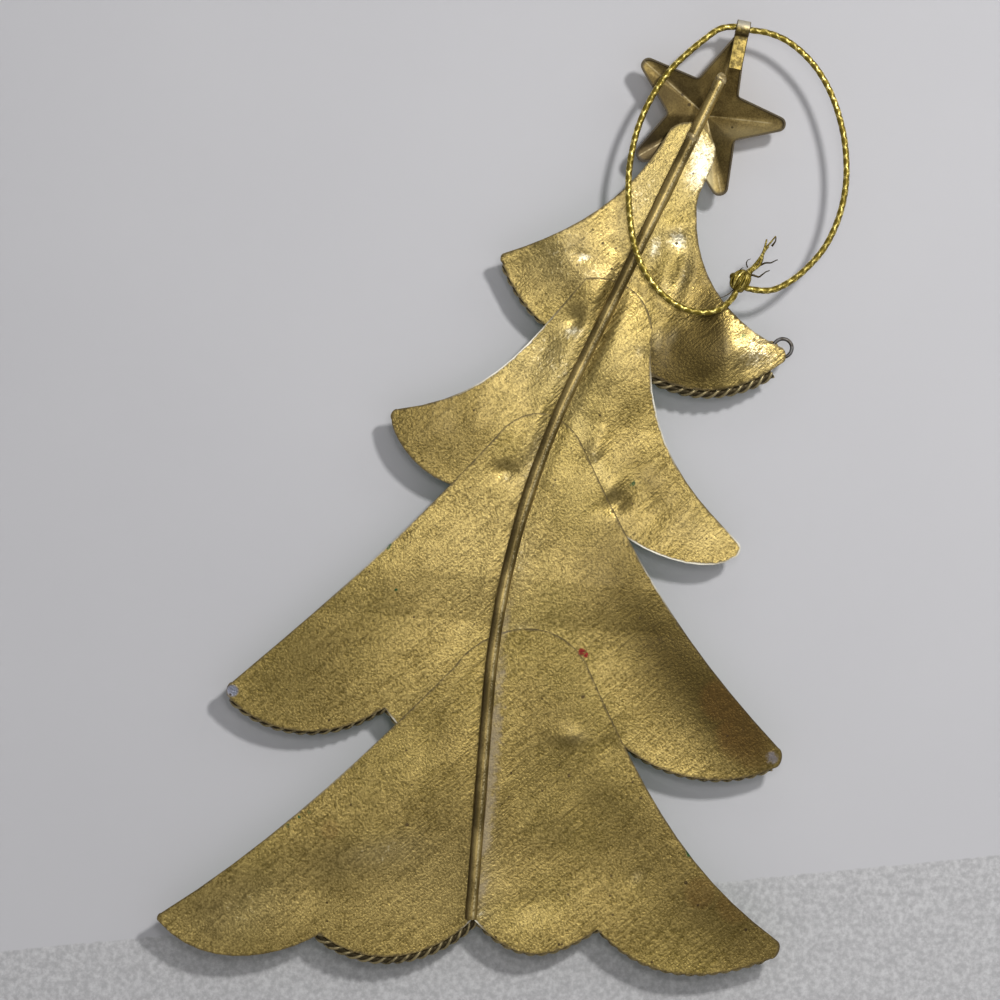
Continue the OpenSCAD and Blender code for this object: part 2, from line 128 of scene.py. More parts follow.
def turns(count):
    """Even steps round a full turn, in radians."""
    return np.arange(count) * 2 * np.pi / count


def grid_quads(rows, columns):
    """Faces of rows of points that each close on themselves, from one row to the next."""
    i, k = np.meshgrid(np.arange(rows - 1), np.arange(columns), indexing="ij")
    a, b = i * columns + k, i * columns + (k + 1) % columns
    return np.stack([a, b, b + columns, a + columns], axis=-1).reshape(-1, 4)


def turned_out(points, quads, ends):
    """The faces and end faces, turned over where the volume that they close is negative."""
    fans = [np.array([[end[0], end[k], end[k + 1]] for k in range(1, len(end) - 1)]) for end in ends]
    if volume(points, np.concatenate([quads[:, [0, 1, 2]], quads[:, [0, 2, 3]], *fans])) < 0:
        return quads[:, ::-1], [end[::-1] for end in ends]
    return quads, ends


def on_body(name, mesh, body):
    """A mesh as a piece that rides on a body."""
    thing = placed(name, mesh)
    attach(thing, body)
    return thing


def piece(name, points, quads, ends=(), *, body="tree", slot):
    """A piece from points, four-cornered faces and lists of points that close its ends."""
    quads, ends = turned_out(points, quads, ends)
    mesh = bpy.data.meshes.new(name)
    mesh.from_pydata(points.tolist(), [], quads.tolist() + [list(map(int, end)) for end in ends])
    mesh.polygons.foreach_set("use_smooth", np.ones(len(mesh.polygons), bool))
    return on_body(name, mesh, body)


def shade(thing, degrees):
    """Smooth shading that breaks where two faces meet at more than an angle."""
    thing.data.polygons.foreach_set("use_smooth", np.ones(len(thing.data.polygons), bool))
    thing.data.set_sharp_from_angle(angle=np.radians(degrees))


def mark(thing, name, values):
    """Keeps a number for each point of a mesh, which a material can read by its name."""
    layer = thing.data.attributes.new(name, "FLOAT", "POINT")
    layer.data.foreach_set("value", np.asarray(values, np.float32))


print("tools for meshes are ready")


# %% Paths and the tubes along them
def unit(v):
    return v / np.linalg.norm(v, axis=-1, keepdims=True)


def evenly(points, spacing=None, count=None):
    """The path again, in even steps of about the spacing or as a count of points, found by its
    length so far."""
    along = np.concatenate([[0], np.cumsum(np.linalg.norm(np.diff(points, axis=0), axis=1))])
    count = count or max(2, round(along[-1] / spacing)) + 1
    at = np.linspace(0, along[-1], count)
    return np.stack([np.interp(at, along, points[:, k]) for k in range(points.shape[1])], axis=-1)


CURVE_STEPS = 24


def through(points, spacing):
    """A smooth path through points: between p1 and p2 it is the Catmull-Rom cubic, which leaves
    p1 along p2 - p0 and reaches p2 along p3 - p1."""
    p = np.concatenate([[2 * points[0] - points[1]], points, [2 * points[-1] - points[-2]]])
    t = np.linspace(0, 1, CURVE_STEPS, endpoint=False)[None, :, None]
    p0, p1, p2, p3 = (p[k:len(p) - 3 + k][:, None, :] for k in range(4))
    curve = 0.5 * (2 * p1 + (p2 - p0) * t + (2 * p0 - 5 * p1 + 4 * p2 - p3) * t ** 2
                   + (3 * p1 - p0 - 3 * p2 + p3) * t ** 3)
    return evenly(np.concatenate([curve.reshape(-1, points.shape[1]), points[-1:]]), spacing)


def cubic(a, p, q, b, u):
    """Cubic curve from a to b with handles p and q:
    (1-u)^3 a + 3(1-u)^2 u p + 3(1-u) u^2 q + u^3 b."""
    return (1 - u) ** 3 * a + 3 * (1 - u) ** 2 * u * p + 3 * (1 - u) * u ** 2 * q + u ** 3 * b


def frames(path):
    """Side and up at each point: side is tangent x Y, across the path in the plane of the sheets,
    and up is side x tangent."""
    tangent = unit(np.gradient(path, axis=0))
    side = unit(np.cross(tangent, [0.0, 1.0, 0.0]))
    return side, np.cross(side, tangent)


def tube(path, radius, sides):
    """Points, faces and the two end faces of a tube: path + radius (cos a side + sin a up), a
    going round in even steps. The radius is a number, one for each ring, or one for each point
    of each ring."""
    side, up = frames(path)
    angle = turns(sides)
    by_ring = np.reshape(radius, (-1, 1) if np.ndim(radius) < 2 else np.shape(radius))
    radius = np.broadcast_to(by_ring, (len(path), sides))[..., None]
    around = (np.cos(angle)[None, :, None] * side[:, None, :]
              + np.sin(angle)[None, :, None] * up[:, None, :])
    points = (path[:, None, :] + radius * around).reshape(-1, 3)
    last = len(points) - sides
    return points, grid_quads(len(path), sides), [np.arange(sides)[::-1], last + np.arange(sides)]


def join(parts):
    """Several (points, quads, ends) as one: each is turned the right way out by its own volume,
    and the numbers of its faces' points are moved on."""
    starts = np.cumsum([0] + [len(part[0]) for part in parts])
    turned = [turned_out(*part) for part in parts]
    return (np.concatenate([part[0] for part in parts]),
            np.concatenate([quads + start for (quads, _), start in zip(turned, starts)]),
            [end + start for (_, ends), start in zip(turned, starts) for end in ends])


print("tools for tubes are ready")

# %% [markdown]
# ## The hanging cord
# The cord is a metallic braid, closed by a knot. It is 1.8 mm thick in the CAD model and 1.7 mm
# here, inside it. The photograph shows it from end to end. It is stiff enough to keep its own
# round loop: it leaves the eye along the bore, hangs down over the rod, and turns up again to the
# knot. It is made as two runs, one from each side of the eye to the knot. Its braid is real
# relief: two sets of ridges that cross, wound in opposite directions round the tube. The routes
# are the CAD model's own, and the right one has one more point, inside the knot.

# %% The cord's two runs
CORD_R, CORD_STEP = 0.85 * MM, 0.16 * MM
EYE_LEAN = np.radians(11.3)
eye_side = np.array([np.cos(EYE_LEAN), 0, -np.sin(EYE_LEAN)])
left_route = np.array([
    (0, 0, 0), -2.4 * eye_side, (-6.3, -0.3, -0.2), (-10.3, -0.5, -3), (-14.2, -0.7, -6.2),
    (-18.6, -0.9, -10.4), (-22.3, -1.2, -15.3), (-25.3, -1.5, -20.6), (-27.6, -1.8, -26.2),
    (-29.1, -2.1, -32), (-30, -2.4, -38), (-30.1, -2.7, -44), (-29.7, -3, -50),
    (-28.8, -3.2, -56), (-26.9, -3.3, -61.8), (-23.6, -3.3, -67.2), (-19.4, -3.2, -71.4),
    (-14.4, -3.1, -74), (-9.4, -3, -74.6), (-5.6, -2.9, -73.3), (-3, -2.9, -71),
    (-1.9, -2.9, -69)]) * MM
right_route = np.array([
    (0, 0, 0), 2.4 * eye_side, (6.6, -0.3, -1.2), (11.4, -0.5, -3.2), (16, -0.7, -6.8),
    (19.9, -0.9, -11.4), (22.9, -1.2, -16.8), (25, -1.5, -22.6), (26.4, -1.8, -28.6),
    (27, -2, -34.6), (26.9, -2.3, -40.6), (25.9, -2.5, -46.6), (24, -2.7, -52.3),
    (21.1, -2.8, -57.8), (17, -2.9, -62.6), (12.4, -2.9, -66.4), (7.2, -2.9, -68.8),
    (1.4, -2.9, -68.4), (-0.6, -2.9, -67)]) * MM
knot_at = np.array([-0.8, -2.9, -66.3]) * MM
BRAID_PITCH = 2.7 * MM
BRAID_DEPTH = 0.05
CREST_FROM = 0.7
CORD_SIDES = 16


def braid(path, radius):
    """Relief of a braid: r (1 - depth + depth crest). The crest is the higher of two ridges,
    |cos(a + turn)| and |cos(a - turn + pi/4)|, counted from CREST_FROM up to 1. They wind
    opposite ways, half a turn for each pitch along the path."""
    angle = turns(CORD_SIDES)[None, :]
    step = np.linalg.norm(path[1] - path[0])
    turn = (np.arange(len(path)) * step * np.pi / BRAID_PITCH)[:, None]
    crest = np.maximum(np.abs(np.cos(angle + turn)), np.abs(np.cos(angle - turn + np.pi / 4)))
    crest = (crest - CREST_FROM) / (1 - CREST_FROM)
    return radius * (1 - BRAID_DEPTH + BRAID_DEPTH * crest), np.clip(crest, 0, 1)


def braided(name, route):
    """A run of cord through the points of its route."""
    path = through(route, CORD_STEP)
    radius, crest = braid(path, CORD_R)
    run = piece(name, *tube(path, radius, CORD_SIDES), body="cord", slot="cord_gold")
    mark(run, "crest", crest.ravel())
    length = np.linalg.norm(np.diff(path, axis=0), axis=1).sum()
    print(name, "length in mm:", round(length / MM, 1))
    return run, path, length


cord_left, left_path, left_length = braided("cord_run_left", left_route)
cord_right, right_path, right_length = braided("cord_run_right", right_route)
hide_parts("cord_left")
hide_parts("cord_right")

# %% [markdown]
# The knot is an overhand knot pulled tight. A trefoil curve is the centre line of exactly that
# knot, so the same braid follows a small trefoil, squeezed to the size of the real knot, round a
# bundle of the cord's own threads. Loose threads bulge over it from one end to the other, each a
# twisted meridian of an egg whose poles lie towards the cut ends and away from them.

# %% The knot
TREFOIL_SIZE, TREFOIL_LOOP, TREFOIL_DEPTH = 1.2255 * MM, 0.9, 0.75
turn = np.linspace(0, 2 * np.pi, 240)
trefoil = np.stack([np.sin(turn) + TREFOIL_LOOP * np.sin(2 * turn), -TREFOIL_DEPTH * np.sin(3 * turn),
                    np.cos(turn) - TREFOIL_LOOP * np.cos(2 * turn)], axis=-1)
knot_path = knot_at + TREFOIL_SIZE * trefoil
knot_radius, knot_crest = braid(knot_path, CORD_R)
CORE_FROM, CORE_TO, CORE_WIDE = (-1.5, 0, -1.9), (1.9, 0, 1.9), 1.9 * MM
core_path = evenly(knot_at + np.array([CORE_FROM, (0, 0, 0), CORE_TO]) * MM, CORD_STEP)
# the core swells like an egg, sqrt(1 - s^2), and stays a little open at its ends
core_swell = CORE_WIDE * np.sqrt(1.02 - np.linspace(-1, 1, len(core_path)) ** 2)
core_radius, core_crest = braid(core_path, core_swell[:, None])
EGG_LONG, EGG_WIDE, EGG_REACH = 2.9 * MM, 2.35 * MM, 68
THREADS, THREAD_SIDES = 18, 6
# how fast a thread turns as it goes up, its share of the width and its radius in mm: each is
# drawn between two numbers
THREAD_TURN, THREAD_OUT, THREAD_R = (0.2, 0.6), (0.9, 1.06), (0.2, 0.34)
# crest numbers of the threads in turn, and the share kept on the knot: how much of the cord's painted
# glints each takes
THREAD_CRESTS, KNOT_SHINE = (1.4, 0.1, 0.7), 0.7
egg_way = unit(np.array([0.68, 0, 0.73]))
egg_side = np.cross(egg_way, [0.0, 1.0, 0.0])
up_egg = np.radians(np.linspace(-EGG_REACH, EGG_REACH, 26))[:, None]
thread_draw = np.random.default_rng(4)


def bulging(start):
    """A thread over the knot: l sin(s) axis + w cos(s) (cos(a) side + sin(a) Y), where a turns
    slowly with s."""
    round_egg = start + thread_draw.uniform(*THREAD_TURN) * up_egg
    wide = EGG_WIDE * thread_draw.uniform(*THREAD_OUT) * np.cos(up_egg)
    path = (knot_at + EGG_LONG * np.sin(up_egg) * egg_way
            + wide * (np.cos(round_egg) * egg_side + np.sin(round_egg) * np.array([0, 1.0, 0])))
    return tube(path, thread_draw.uniform(*THREAD_R) * MM, THREAD_SIDES)


threads = [bulging(start) for start in turns(THREADS)]
knot_parts = [tube(knot_path, knot_radius, CORD_SIDES),
              tube(core_path, core_radius, CORD_SIDES), *threads]
knot = piece("cord_knot_tied", *join(knot_parts), body="cord", slot="cord_gold")
thread_crests = [np.full(len(part[0]), THREAD_CRESTS[k % 3]) for k, part in enumerate(threads)]
crests = np.concatenate([knot_crest.ravel(), core_crest.ravel(), *thread_crests])
mark(knot, "crest", crests * KNOT_SHINE)
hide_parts("cord_knot")
print("knot points:", len(knot.data.vertices))

# %% [markdown]
# Past the knot the cut ends have come undone. The long one is a loose bundle of flat threads
# that splits in two, and stiff dark hairs stand off it. Each is a thin tube through a few points
# given as places in the picture and a depth in millimetres in front of the knot.

# %% The frayed ends
FRAY_STEP, FRAY_TIP = 0.25 * MM, 0.4


def thread(places, depths, radius):
    """A thin tube through places of the picture, which tapers towards its tip."""
    flat = on_plane(*zip(*places))
    route = np.stack([flat[:, 0], knot_at[1] - np.array(depths) * MM, flat[:, 1]], axis=-1)
    path = through(route, FRAY_STEP)
    return tube(path, radius * MM * np.linspace(1, FRAY_TIP, len(path)), THREAD_SIDES)


bundle = [
    thread([(746, 275), (752, 268), (757, 262), (761, 256), (763.5, 250), (766, 240)],
           [0, 0.5, 0.9, 1.2, 1.3, 1.4], 0.55),
    thread([(747, 274), (753, 270), (759, 265), (762, 256), (765, 249), (770, 243), (775, 237)],
           [0.3, 0.7, 0.8, 0.9, 1.2, 1.6, 1.9], 0.5),
    thread([(745, 276), (751, 270), (756, 266.5), (761, 262), (763, 254), (768, 247)],
           [-0.5, 0, 0.4, 0.3, 0.6, 0.8], 0.5),
    thread([(748, 273), (752, 269), (756, 265)], [0.2, 0.4, 0.6], 0.95)]
hairs = [
    thread([(755, 267), (760, 265.5), (765, 263.5), (770, 263.4), (774, 261.6), (777, 260.3)],
           [0.2, 0.3, 0.6, 0.9, 1.1, 1.2], 0.33),
    thread([(749, 275), (753.5, 276), (758, 277.4), (761, 275.6), (765, 272.6), (769, 271)],
           [0.2, 0.3, 0.3, 0.5, 0.7, 0.8], 0.32),
    thread([(747, 268), (745.8, 264), (747, 261), (750, 259.5)], [0.4, 0.8, 1.1, 1.2], 0.2),
    thread([(739, 272), (740.5, 269.3), (743, 268.3)], [0.5, 0.9, 1.2], 0.16),
    thread([(771, 247), (774.5, 242), (775.2, 237.4)], [1.6, 1.8, 1.9], 0.3),
    thread([(733, 290), (728, 294.5), (722, 297.5), (715, 300), (708, 303.5)],
           [0, 0.3, 0.5, 0.4, 0.2], 0.14)]
frays = piece("cord_frays", *join(bundle), body="cord", slot="cord_gold")
dark_hairs = piece("cord_hairs", *join(hairs), body="cord", slot="cord_gold")
mark(frays, "crest", np.abs(np.sin(np.arange(len(frays.data.vertices)) * 0.37)))
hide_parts("cord_tails")
print("whole cord in mm:", round((left_length + right_length) / MM, 1))

# %% [markdown]
# ## Depth of the dented sheets
# The sheets were cut and soldered by hand, so they are not flat. Long shallow waves steer the
# highlights, and small dents sit where the torch and the hammer touched. One function of X and Z
# gives how far the metal is pushed towards +Y, for all four sheets and for what sits on them, so
# that laps and trims stay together. It fades out at the rod, which the sheets are soldered to,
# and under the star.

# %% The rod's middle line, which the dents keep away from
def lean(degrees):
    """Across and up of a unit step along a line that leans from the vertical."""
    return np.array([np.sin(np.radians(degrees)), np.cos(np.radians(degrees))])


# in mm and degrees: radius, leans of the two straights, the upper one's length, the bend's
# radius, the star's middle from the eye, the rod's end from there, and its foot above the hem
ROD_R, ROD_STEP = 1.6, 0.5
TOP_LEAN, FOOT_LEAN, TOP_LENGTH = 26, 4.5, 85.8
BEND_R = 237
STAR_AWAY, STAR_LEAN = 24.2, 22.5
END_FROM_STAR = np.array([3.2, 8.6])
FOOT_ABOVE_HEM = 14.7
STAR_AT = -STAR_AWAY * lean(STAR_LEAN)
rod_end = STAR_AT + END_FROM_STAR
bend_start = rod_end - TOP_LENGTH * lean(TOP_LEAN)
bend_centre = bend_start + BEND_R * np.array([1, -1]) * lean(TOP_LEAN)[::-1]
bend_angle = np.radians(np.linspace(TOP_LEAN, FOOT_LEAN, 80))
bend = bend_centre - BEND_R * np.stack([np.cos(bend_angle), -np.sin(bend_angle)], axis=-1)
FOOT_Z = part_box("tier_bottom")[0][2] / MM + FOOT_ABOVE_HEM
rod_foot = bend[-1] - (bend[-1][1] - FOOT_Z) / np.cos(np.radians(FOOT_LEAN)) * lean(FOOT_LEAN)
rod_line = evenly(np.concatenate([[rod_end], bend, [rod_foot]]), ROD_STEP)
print("rod from", np.round(rod_end, 1), "to", np.round(rod_foot, 1), "mm")


def rod_x(z):
    """X of the rod's middle line at a height, in mm."""
    return np.interp(z, rod_line[::-1, 1], rod_line[::-1, 0])


# %% Random waves
rng = np.random.default_rng(7)


def random_waves(count, lengths, heights):
    """Length in mm, direction, phase and height in mm of each of some random waves."""
    return list(zip(rng.uniform(*lengths, count), rng.uniform(0, np.pi, count),
                    rng.uniform(0, 2 * np.pi, count), rng.uniform(*heights, count)))


LONG_WAVES = random_waves(12, (26, 74), (0.04, 0.11))
SHORT_WAVES = random_waves(16, (8, 20), (0.008, 0.026))
print("waves:", len(LONG_WAVES), "long and", len(SHORT_WAVES), "short")

# %% Dents, wide bends and folds
# place in the picture, half-widths along and across in mm, turn in degrees, push in mm
DENTS = [
    (575, 317, 2.6, 2.0, 20, 0.4), (583, 256, 3.2, 1.6, -20, 0.35), (615, 247, 1.6, 1.2, 0, 0.35),
    (600, 290, 4.5, 3.2, 40, -0.3), (505, 470, 3.2, 1.8, 0, 0.6), (608, 508, 3.4, 2.0, 30, 0.5),
    (597, 440, 4.5, 2.4, 60, -0.35), (565, 735, 4.2, 2.4, -10, -0.4), (637, 876, 2.8, 1.6, 45, 0.5),
    (560, 815, 9, 6, 30, -0.4), (590, 808, 6, 5, 0, 0.3), (372, 848, 16, 8, 25, -0.5),
    (318, 880, 9, 5, 60, 0.4), (680, 238, 3.0, 2.2, 0, 0.4), (675, 232, 5, 3, 20, -0.3),
    (668, 268, 3.0, 10, -14, -0.5), (681, 274, 1.8, 8, -16, 0.4), (692, 280, 2.0, 7, -18, -0.3),
    (648, 268, 4, 12, -25, 0.3), (663, 500, 12, 4.5, 52, 0.7), (690, 455, 12, 5, 45, -0.35),
    (425, 435, 8, 5, 30, -0.3), (520, 275, 6, 4, 30, 0.4), (585, 600, 12, 8, 30, -0.3),
    (250, 930, 14, 7, 10, -0.45), (195, 920, 8, 5, 20, 0.4), (545, 345, 9, 3, 60, 0.4),
    (520, 470, 5, 2.4, 80, 0.3), (655, 555, 5, 3, 20, -0.3), (430, 740, 8, 3, 60, 0.35),
    (610, 745, 4, 2, 70, 0.3), (500, 800, 3, 9, -10, -0.3), (540, 905, 8, 4, 20, 0.35),
    (622, 498, 3.2, 2.2, 60, 0.5), (596, 452, 3.0, 2.0, 60, -0.35), (652, 470, 9, 4.5, 50, 0.6),
    (577, 321, 1.5, 1.3, 0, 0.45), (675, 217, 1.8, 1.0, 0, 0.3), (679, 243, 1.6, 1.4, 0, 0.4),
    (657, 345, 2.0, 3.2, 0, -0.3), (640, 355, 2.2, 1.6, 0, 0.3), (575, 737, 2.4, 1.6, 0, -0.3),
    (743, 335, 2.0, 1.5, 30, 0.3), (755, 352, 1.8, 1.4, 0, -0.3), (765, 345, 1.6, 1.2, 0, 0.3),
    (748, 368, 1.8, 1.3, 40, 0.3), (738, 352, 1.5, 1.8, 0, -0.25), (600, 395, 5, 1.6, 50, 0.25)]
# the same for the wide bends: wings that lean, and bellies between them
BENDS = [
    (729, 350, 18, 15, 4, -1.7), (585, 262, 7, 14, 30, -0.8),
    (495, 415, 13, 18, 30, -1.1), (400, 610, 30, 18, 45, -0.9), (765, 680, 38, 20, -54, -2.2),
    (640, 620, 12, 18, -40, -0.4), (750, 880, 32, 14, -42, -1.4), (560, 850, 26, 18, 0, 0.5),
    (400, 790, 26, 14, 40, -0.6), (610, 350, 12, 20, -20, -0.7), (650, 540, 12, 9, 40, -0.6),
    (230, 860, 26, 10, 35, -0.8)]
# the same for sharp folds, whose half-width along is the length over which they die away
FOLDS = [
    (728, 350, 9, 13, 4, -1.3), (506, 475, 2.2, 2.2, 20, 0.3), (574, 322, 2.0, 2.4, 50, 0.4),
    (600, 462, 2.0, 2.2, 60, 0.4), (611, 488, 2.2, 2.4, 60, -0.4), (621, 505, 2.2, 2.4, 50, 0.4),
    (608, 514, 1.8, 1.6, 10, -0.3), (655, 488, 3.5, 7, 40, -0.45), (580, 737, 2.6, 1.8, 80, 0.3),
    (637, 877, 2.0, 2.2, -40, -0.3)]
print("forms on the sheets:", len(DENTS), "dents,", len(BENDS), "bends,", len(FOLDS), "folds")

# %% How far the metal is pushed
# beside the rod, waves fade in from the first of these to the second, dents to the third
ROD_CLEAR, WAVES_FULL, DENTS_FULL = 1.8, 9.0, 4.8
STAR_FADE = (-34.0, -26.0)
# short waves keep this share at the foot, where the metal is smoother
CALM, CALM_FADE = 0.2, (-150.0, -80.0)


def ease(value, low, high):
    """0 below low, 1 above high, and the smooth step 3 t^2 - 2 t^3 between them."""
    t = np.clip((value - low) / (high - low), 0, 1)
    return t * t * (3 - 2 * t)


def from_spot(x, z, across, down, turned):
    """How far (x, z), in mm, is from a place in the picture: along a turned axis, and beside it."""
    at = on_plane(across, down) / MM
    c, s = np.cos(np.radians(turned)), np.sin(np.radians(turned))
    return (x - at[0]) * c + (z - at[1]) * s, (z - at[1]) * c - (x - at[0]) * s


def push(x, z):
    """How far the metal at (x, z) is pushed along +Y, in metres: waves of sines, dents with the
    profile exp(-distance squared), and folds with exp(-distance) on one axis. All fade out at
    the rod, and the waves under the star too."""
    x, z = np.asarray(x) / MM, np.asarray(z) / MM
    long, short = (sum(height * np.sin((x * np.cos(angle) + z * np.sin(angle)) * 2 * np.pi / length
                                       + phase) for length, angle, phase, height in waves)
                   for waves in (LONG_WAVES, SHORT_WAVES))
    waves = long + short * (CALM + (1 - CALM) * ease(z, *CALM_FADE))
    dents = 0
    for power, rows in ((2, DENTS + BENDS), (1, FOLDS)):
        for across, down, half_long, half_wide, turned, depth in rows:
            along, beside = from_spot(x, z, across, down, turned)
            dents = dents + depth * np.exp(-np.abs(along / half_long) ** power
                                           - (beside / half_wide) ** 2)
    across_rod = np.abs(x - rod_x(z))
    below = 1 - ease(z, *STAR_FADE)
    return (waves * below * ease(across_rod, ROD_CLEAR, WAVES_FULL)
            + dents * ease(across_rod, ROD_CLEAR, DENTS_FULL)) * MM


check = push(*(np.random.default_rng(1).uniform(-0.17, 0, (2, 4000))))
print("depth of the sheets' relief in mm:", np.round([check.min() / MM, check.max() / MM], 2))

# %% [markdown]
# ## The four sheets
# A sheet has the outline of its CAD node and a thickness of half a millimetre. The node's own
# triangles are long and thin and cannot bend, so a copy is merged, its flat faces are dissolved,
# and planes 1.3 mm apart cut it into small cells. Then every point moves along Y by the function
# above. Each point also keeps its distance from the cut edge, because a dark line of painted shade
# runs along it, for the thin shadow where one tier laps another, and its shares of painted shade,
# painted highlight and painted glint.

# %% Cutting a sheet into cells
CELL = 1.3 * MM


def cells_of(node, cell):
    """A merged copy of a CAD node, cut by planes across X and Z at every multiple of the cell."""
    form = bmesh.new()
    form.from_mesh(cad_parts[node].data)
    bmesh.ops.remove_doubles(form, verts=form.verts, dist=2e-6)
    bmesh.ops.dissolve_limit(form, angle_limit=np.radians(0.5), verts=form.verts, edges=form.edges)
    low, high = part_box(node)
    for axis in (0, 2):
        normal = [0, 0, 0]
        normal[axis] = 1
        for at in np.arange(np.ceil(low[axis] / cell), np.floor(high[axis] / cell) + 1) * cell:
            place = [0, 0, 0]
            place[axis] = at
            bmesh.ops.bisect_plane(form, geom=form.verts[:] + form.edges[:] + form.faces[:],
                                   dist=1e-6, plane_co=place, plane_no=normal)
    return form


def mesh_of(form, name):
    """A piece of the tree from a bmesh, its faces made triangles."""
    bmesh.ops.triangulate(form, faces=form.faces[:])
    mesh = bpy.data.meshes.new(name)
    form.to_mesh(mesh)
    form.free()
    return on_body(name, mesh, "tree")


def values_of(items, key, kind=np.float32):
    """One property of a mesh's points, faces or corners, in rows of three."""
    values = np.empty(len(items) * len(np.atleast_1d(getattr(items[0], key))), kind)
    items.foreach_get(key, values)
    return values.reshape(-1, 3)


def points_of(thing):
    return values_of(thing.data.vertices, "co").astype(float)


def set_points(thing, points):
    thing.data.vertices.foreach_set("co", points.astype(np.float32).ravel())
    thing.data.update()


# %% Where the cut edge is
# a face belongs to the cut edge if less than this share of its normal lies along Y
UPRIGHT = 0.3


def edge_distance(points, edge_points):
    """Distance of every point from the nearest point of the cut edge, in the sheet's plane."""
    near = np.full(len(points), np.inf)
    for some in np.array_split(edge_points, max(1, len(edge_points) // 64)):
        gap = np.hypot(points[:, None, 0] - some[None, :, 0], points[:, None, 2] - some[None, :, 2])
        near = np.minimum(near, gap.min(axis=1))
    return near


def edge_points_of(thing):
    """Points of the faces that stand square to the sheet: they are the cut edge."""
    upright = np.abs(values_of(thing.data.polygons, "normal")[:, 1]) < UPRIGHT
    corners = values_of(thing.data.loops, "vertex_index", np.int32)
    return points_of(thing)[np.unique(corners[upright])]


# %% Where shade, highlights and glints are painted
# painted shade, brown where the real metal is turned from the lamps or lies in the cord's
# shadow, and painted highlights, pale where it is turned to them: place in the picture,
# half-widths along and across in mm, turn in degrees, and how much
PAINTED_SHADE_SPOTS = {
    "tier_top": [(690, 358, 10, 8, -6, 1.2), (666, 366, 7, 7, 0, 0.9), (712, 335, 4, 9, 4, 0.7),
                 (690, 335, 8, 4, -10, 0.4), (550, 250, 9, 9, 0, 0.25), (575, 240, 3, 5, 0, 0.3),
                 (563, 285, 5, 4, 0, 0.25), (704, 288, 5, 11, 18, 0.6)],
    "tier_upper": [(430, 425, 17, 14, 20, 0.6), (690, 520, 10, 10, 0, 0.25),
                   (648, 476, 9, 3.5, -50, 0.6), (622, 500, 4.5, 2.6, -60, 0.5),
                   (620, 472, 3.5, 2, -60, 0.3), (625, 540, 6, 6, 0, 0.4), (735, 545, 4, 3, 0, 0.2),
                   (578, 308, 2.4, 2, 0, 0.4)],
    "tier_lower": [(715, 700, 28, 12, -50, 0.75), (745, 730, 12, 10, -50, 0.5),
                   (655, 635, 18, 11, -55, 0.6), (300, 660, 26, 14, 40, 0.55),
                   (400, 620, 20, 12, 45, 0.2), (610, 560, 10, 14, -20, 0.5),
                   (560, 500, 9, 9, 0, 0.15), (505, 463, 3, 1.6, 0, 0.35)],
    "tier_bottom": [(740, 930, 22, 11, -38, 0.6), (640, 830, 26, 14, -45, 0.35),
                    (255, 900, 26, 9, 25, 0.1), (560, 700, 9, 16, 0, 0.25),
                    (440, 810, 42, 36, 0, 0.34)]}
PAINTED_HIGHLIGHT_SPOTS = {
    "tier_top": [(701, 168, 3.8, 7.6, -22, 0.8), (697, 140, 3.0, 4.0, 20, 0.4),
                 (655, 248, 1.6, 3.8, -15, 0.7), (678, 240, 2.6, 3.2, 30, 0.8),
                 (666, 288, 1.2, 3.0, -20, 0.4), (684, 276, 0.9, 6, -25, 0.5),
                 (642, 195, 5, 13, -30, 0.35), (600, 276, 5, 3, 10, 0.3),
                 (560, 255, 13, 9, 30, 0.28), (584, 257, 1.4, 0.8, 20, 0.6),
                 (756, 352, 6.5, 8, 30, 0.48), (657, 338, 1.2, 3, 0, 0.4),
                 (673, 336, 0.9, 1.8, -20, 0.4)],
    "tier_upper": [(620, 360, 6, 12, -20, 0.1), (548, 360, 12, 13, 40, 0.32),
                   (573, 331, 2.4, 1.5, 0, 0.6), (582, 430, 3, 14, 20, 0.2), (640, 352, 1.6, 1.6, 0, 0.4),
                   (607, 514, 3.2, 1.3, -15, 0.5), (596, 462, 5, 1.3, -62, 0.2),
                   (611, 490, 4, 1.4, -62, 0.15), (700, 535, 6, 4, -20, 0.15)],
    "tier_lower": [(430, 700, 7, 3, 40, 0.15), (536, 455, 3, 12, -18, 0.4), (500, 560, 20, 22, 20, 0.12),
                   (507, 477, 1.3, 0.9, 0, 0.6), (520, 560, 3, 8, -10, 0.2), (522, 627, 4, 1, 0, 0.3)],
    "tier_bottom": [(478, 915, 2.4, 1.4, 0, 0.5), (577, 737, 3, 1.4, 0, 0.3),
                    (637, 877, 1.3, 1.3, 0, 0.4), (380, 852, 11, 3.5, 12, 0.25),
                    (430, 880, 22, 14, 0, 0.12), (240, 910, 16, 9, 20, 0.25),
                    (490, 870, 3, 14, 0, 0.15)]}
# painted highlights: bright lines painted where the cut edge is turned to the light
PAINTED_EDGE_GLINTS = {
    "tier_top": [(757, 326, 5, 2, -40, 0.3)],
    "tier_upper": [(500, 368, 11, 2.4, 38, 0.9), (535, 342, 6, 2.4, 45, 0.9), (654, 400, 2, 6, 3, 0.9),
                   (661, 440, 2, 6, 25, 0.8), (736, 545, 3, 5, 0, 0.8), (680, 560, 12, 2.4, -12, 0.9),
                   (645, 545, 4, 3, -30, 0.8)],
    "tier_lower": [(380, 555, 12, 2.4, 42, 0.4), (652, 585, 2, 7, 35, 0.6), (397, 720, 3, 2, 0, 0.6)],
    "tier_bottom": [(473, 920, 3, 2, 0, 0.9), (345, 780, 14, 2, 40, 0.3)]}


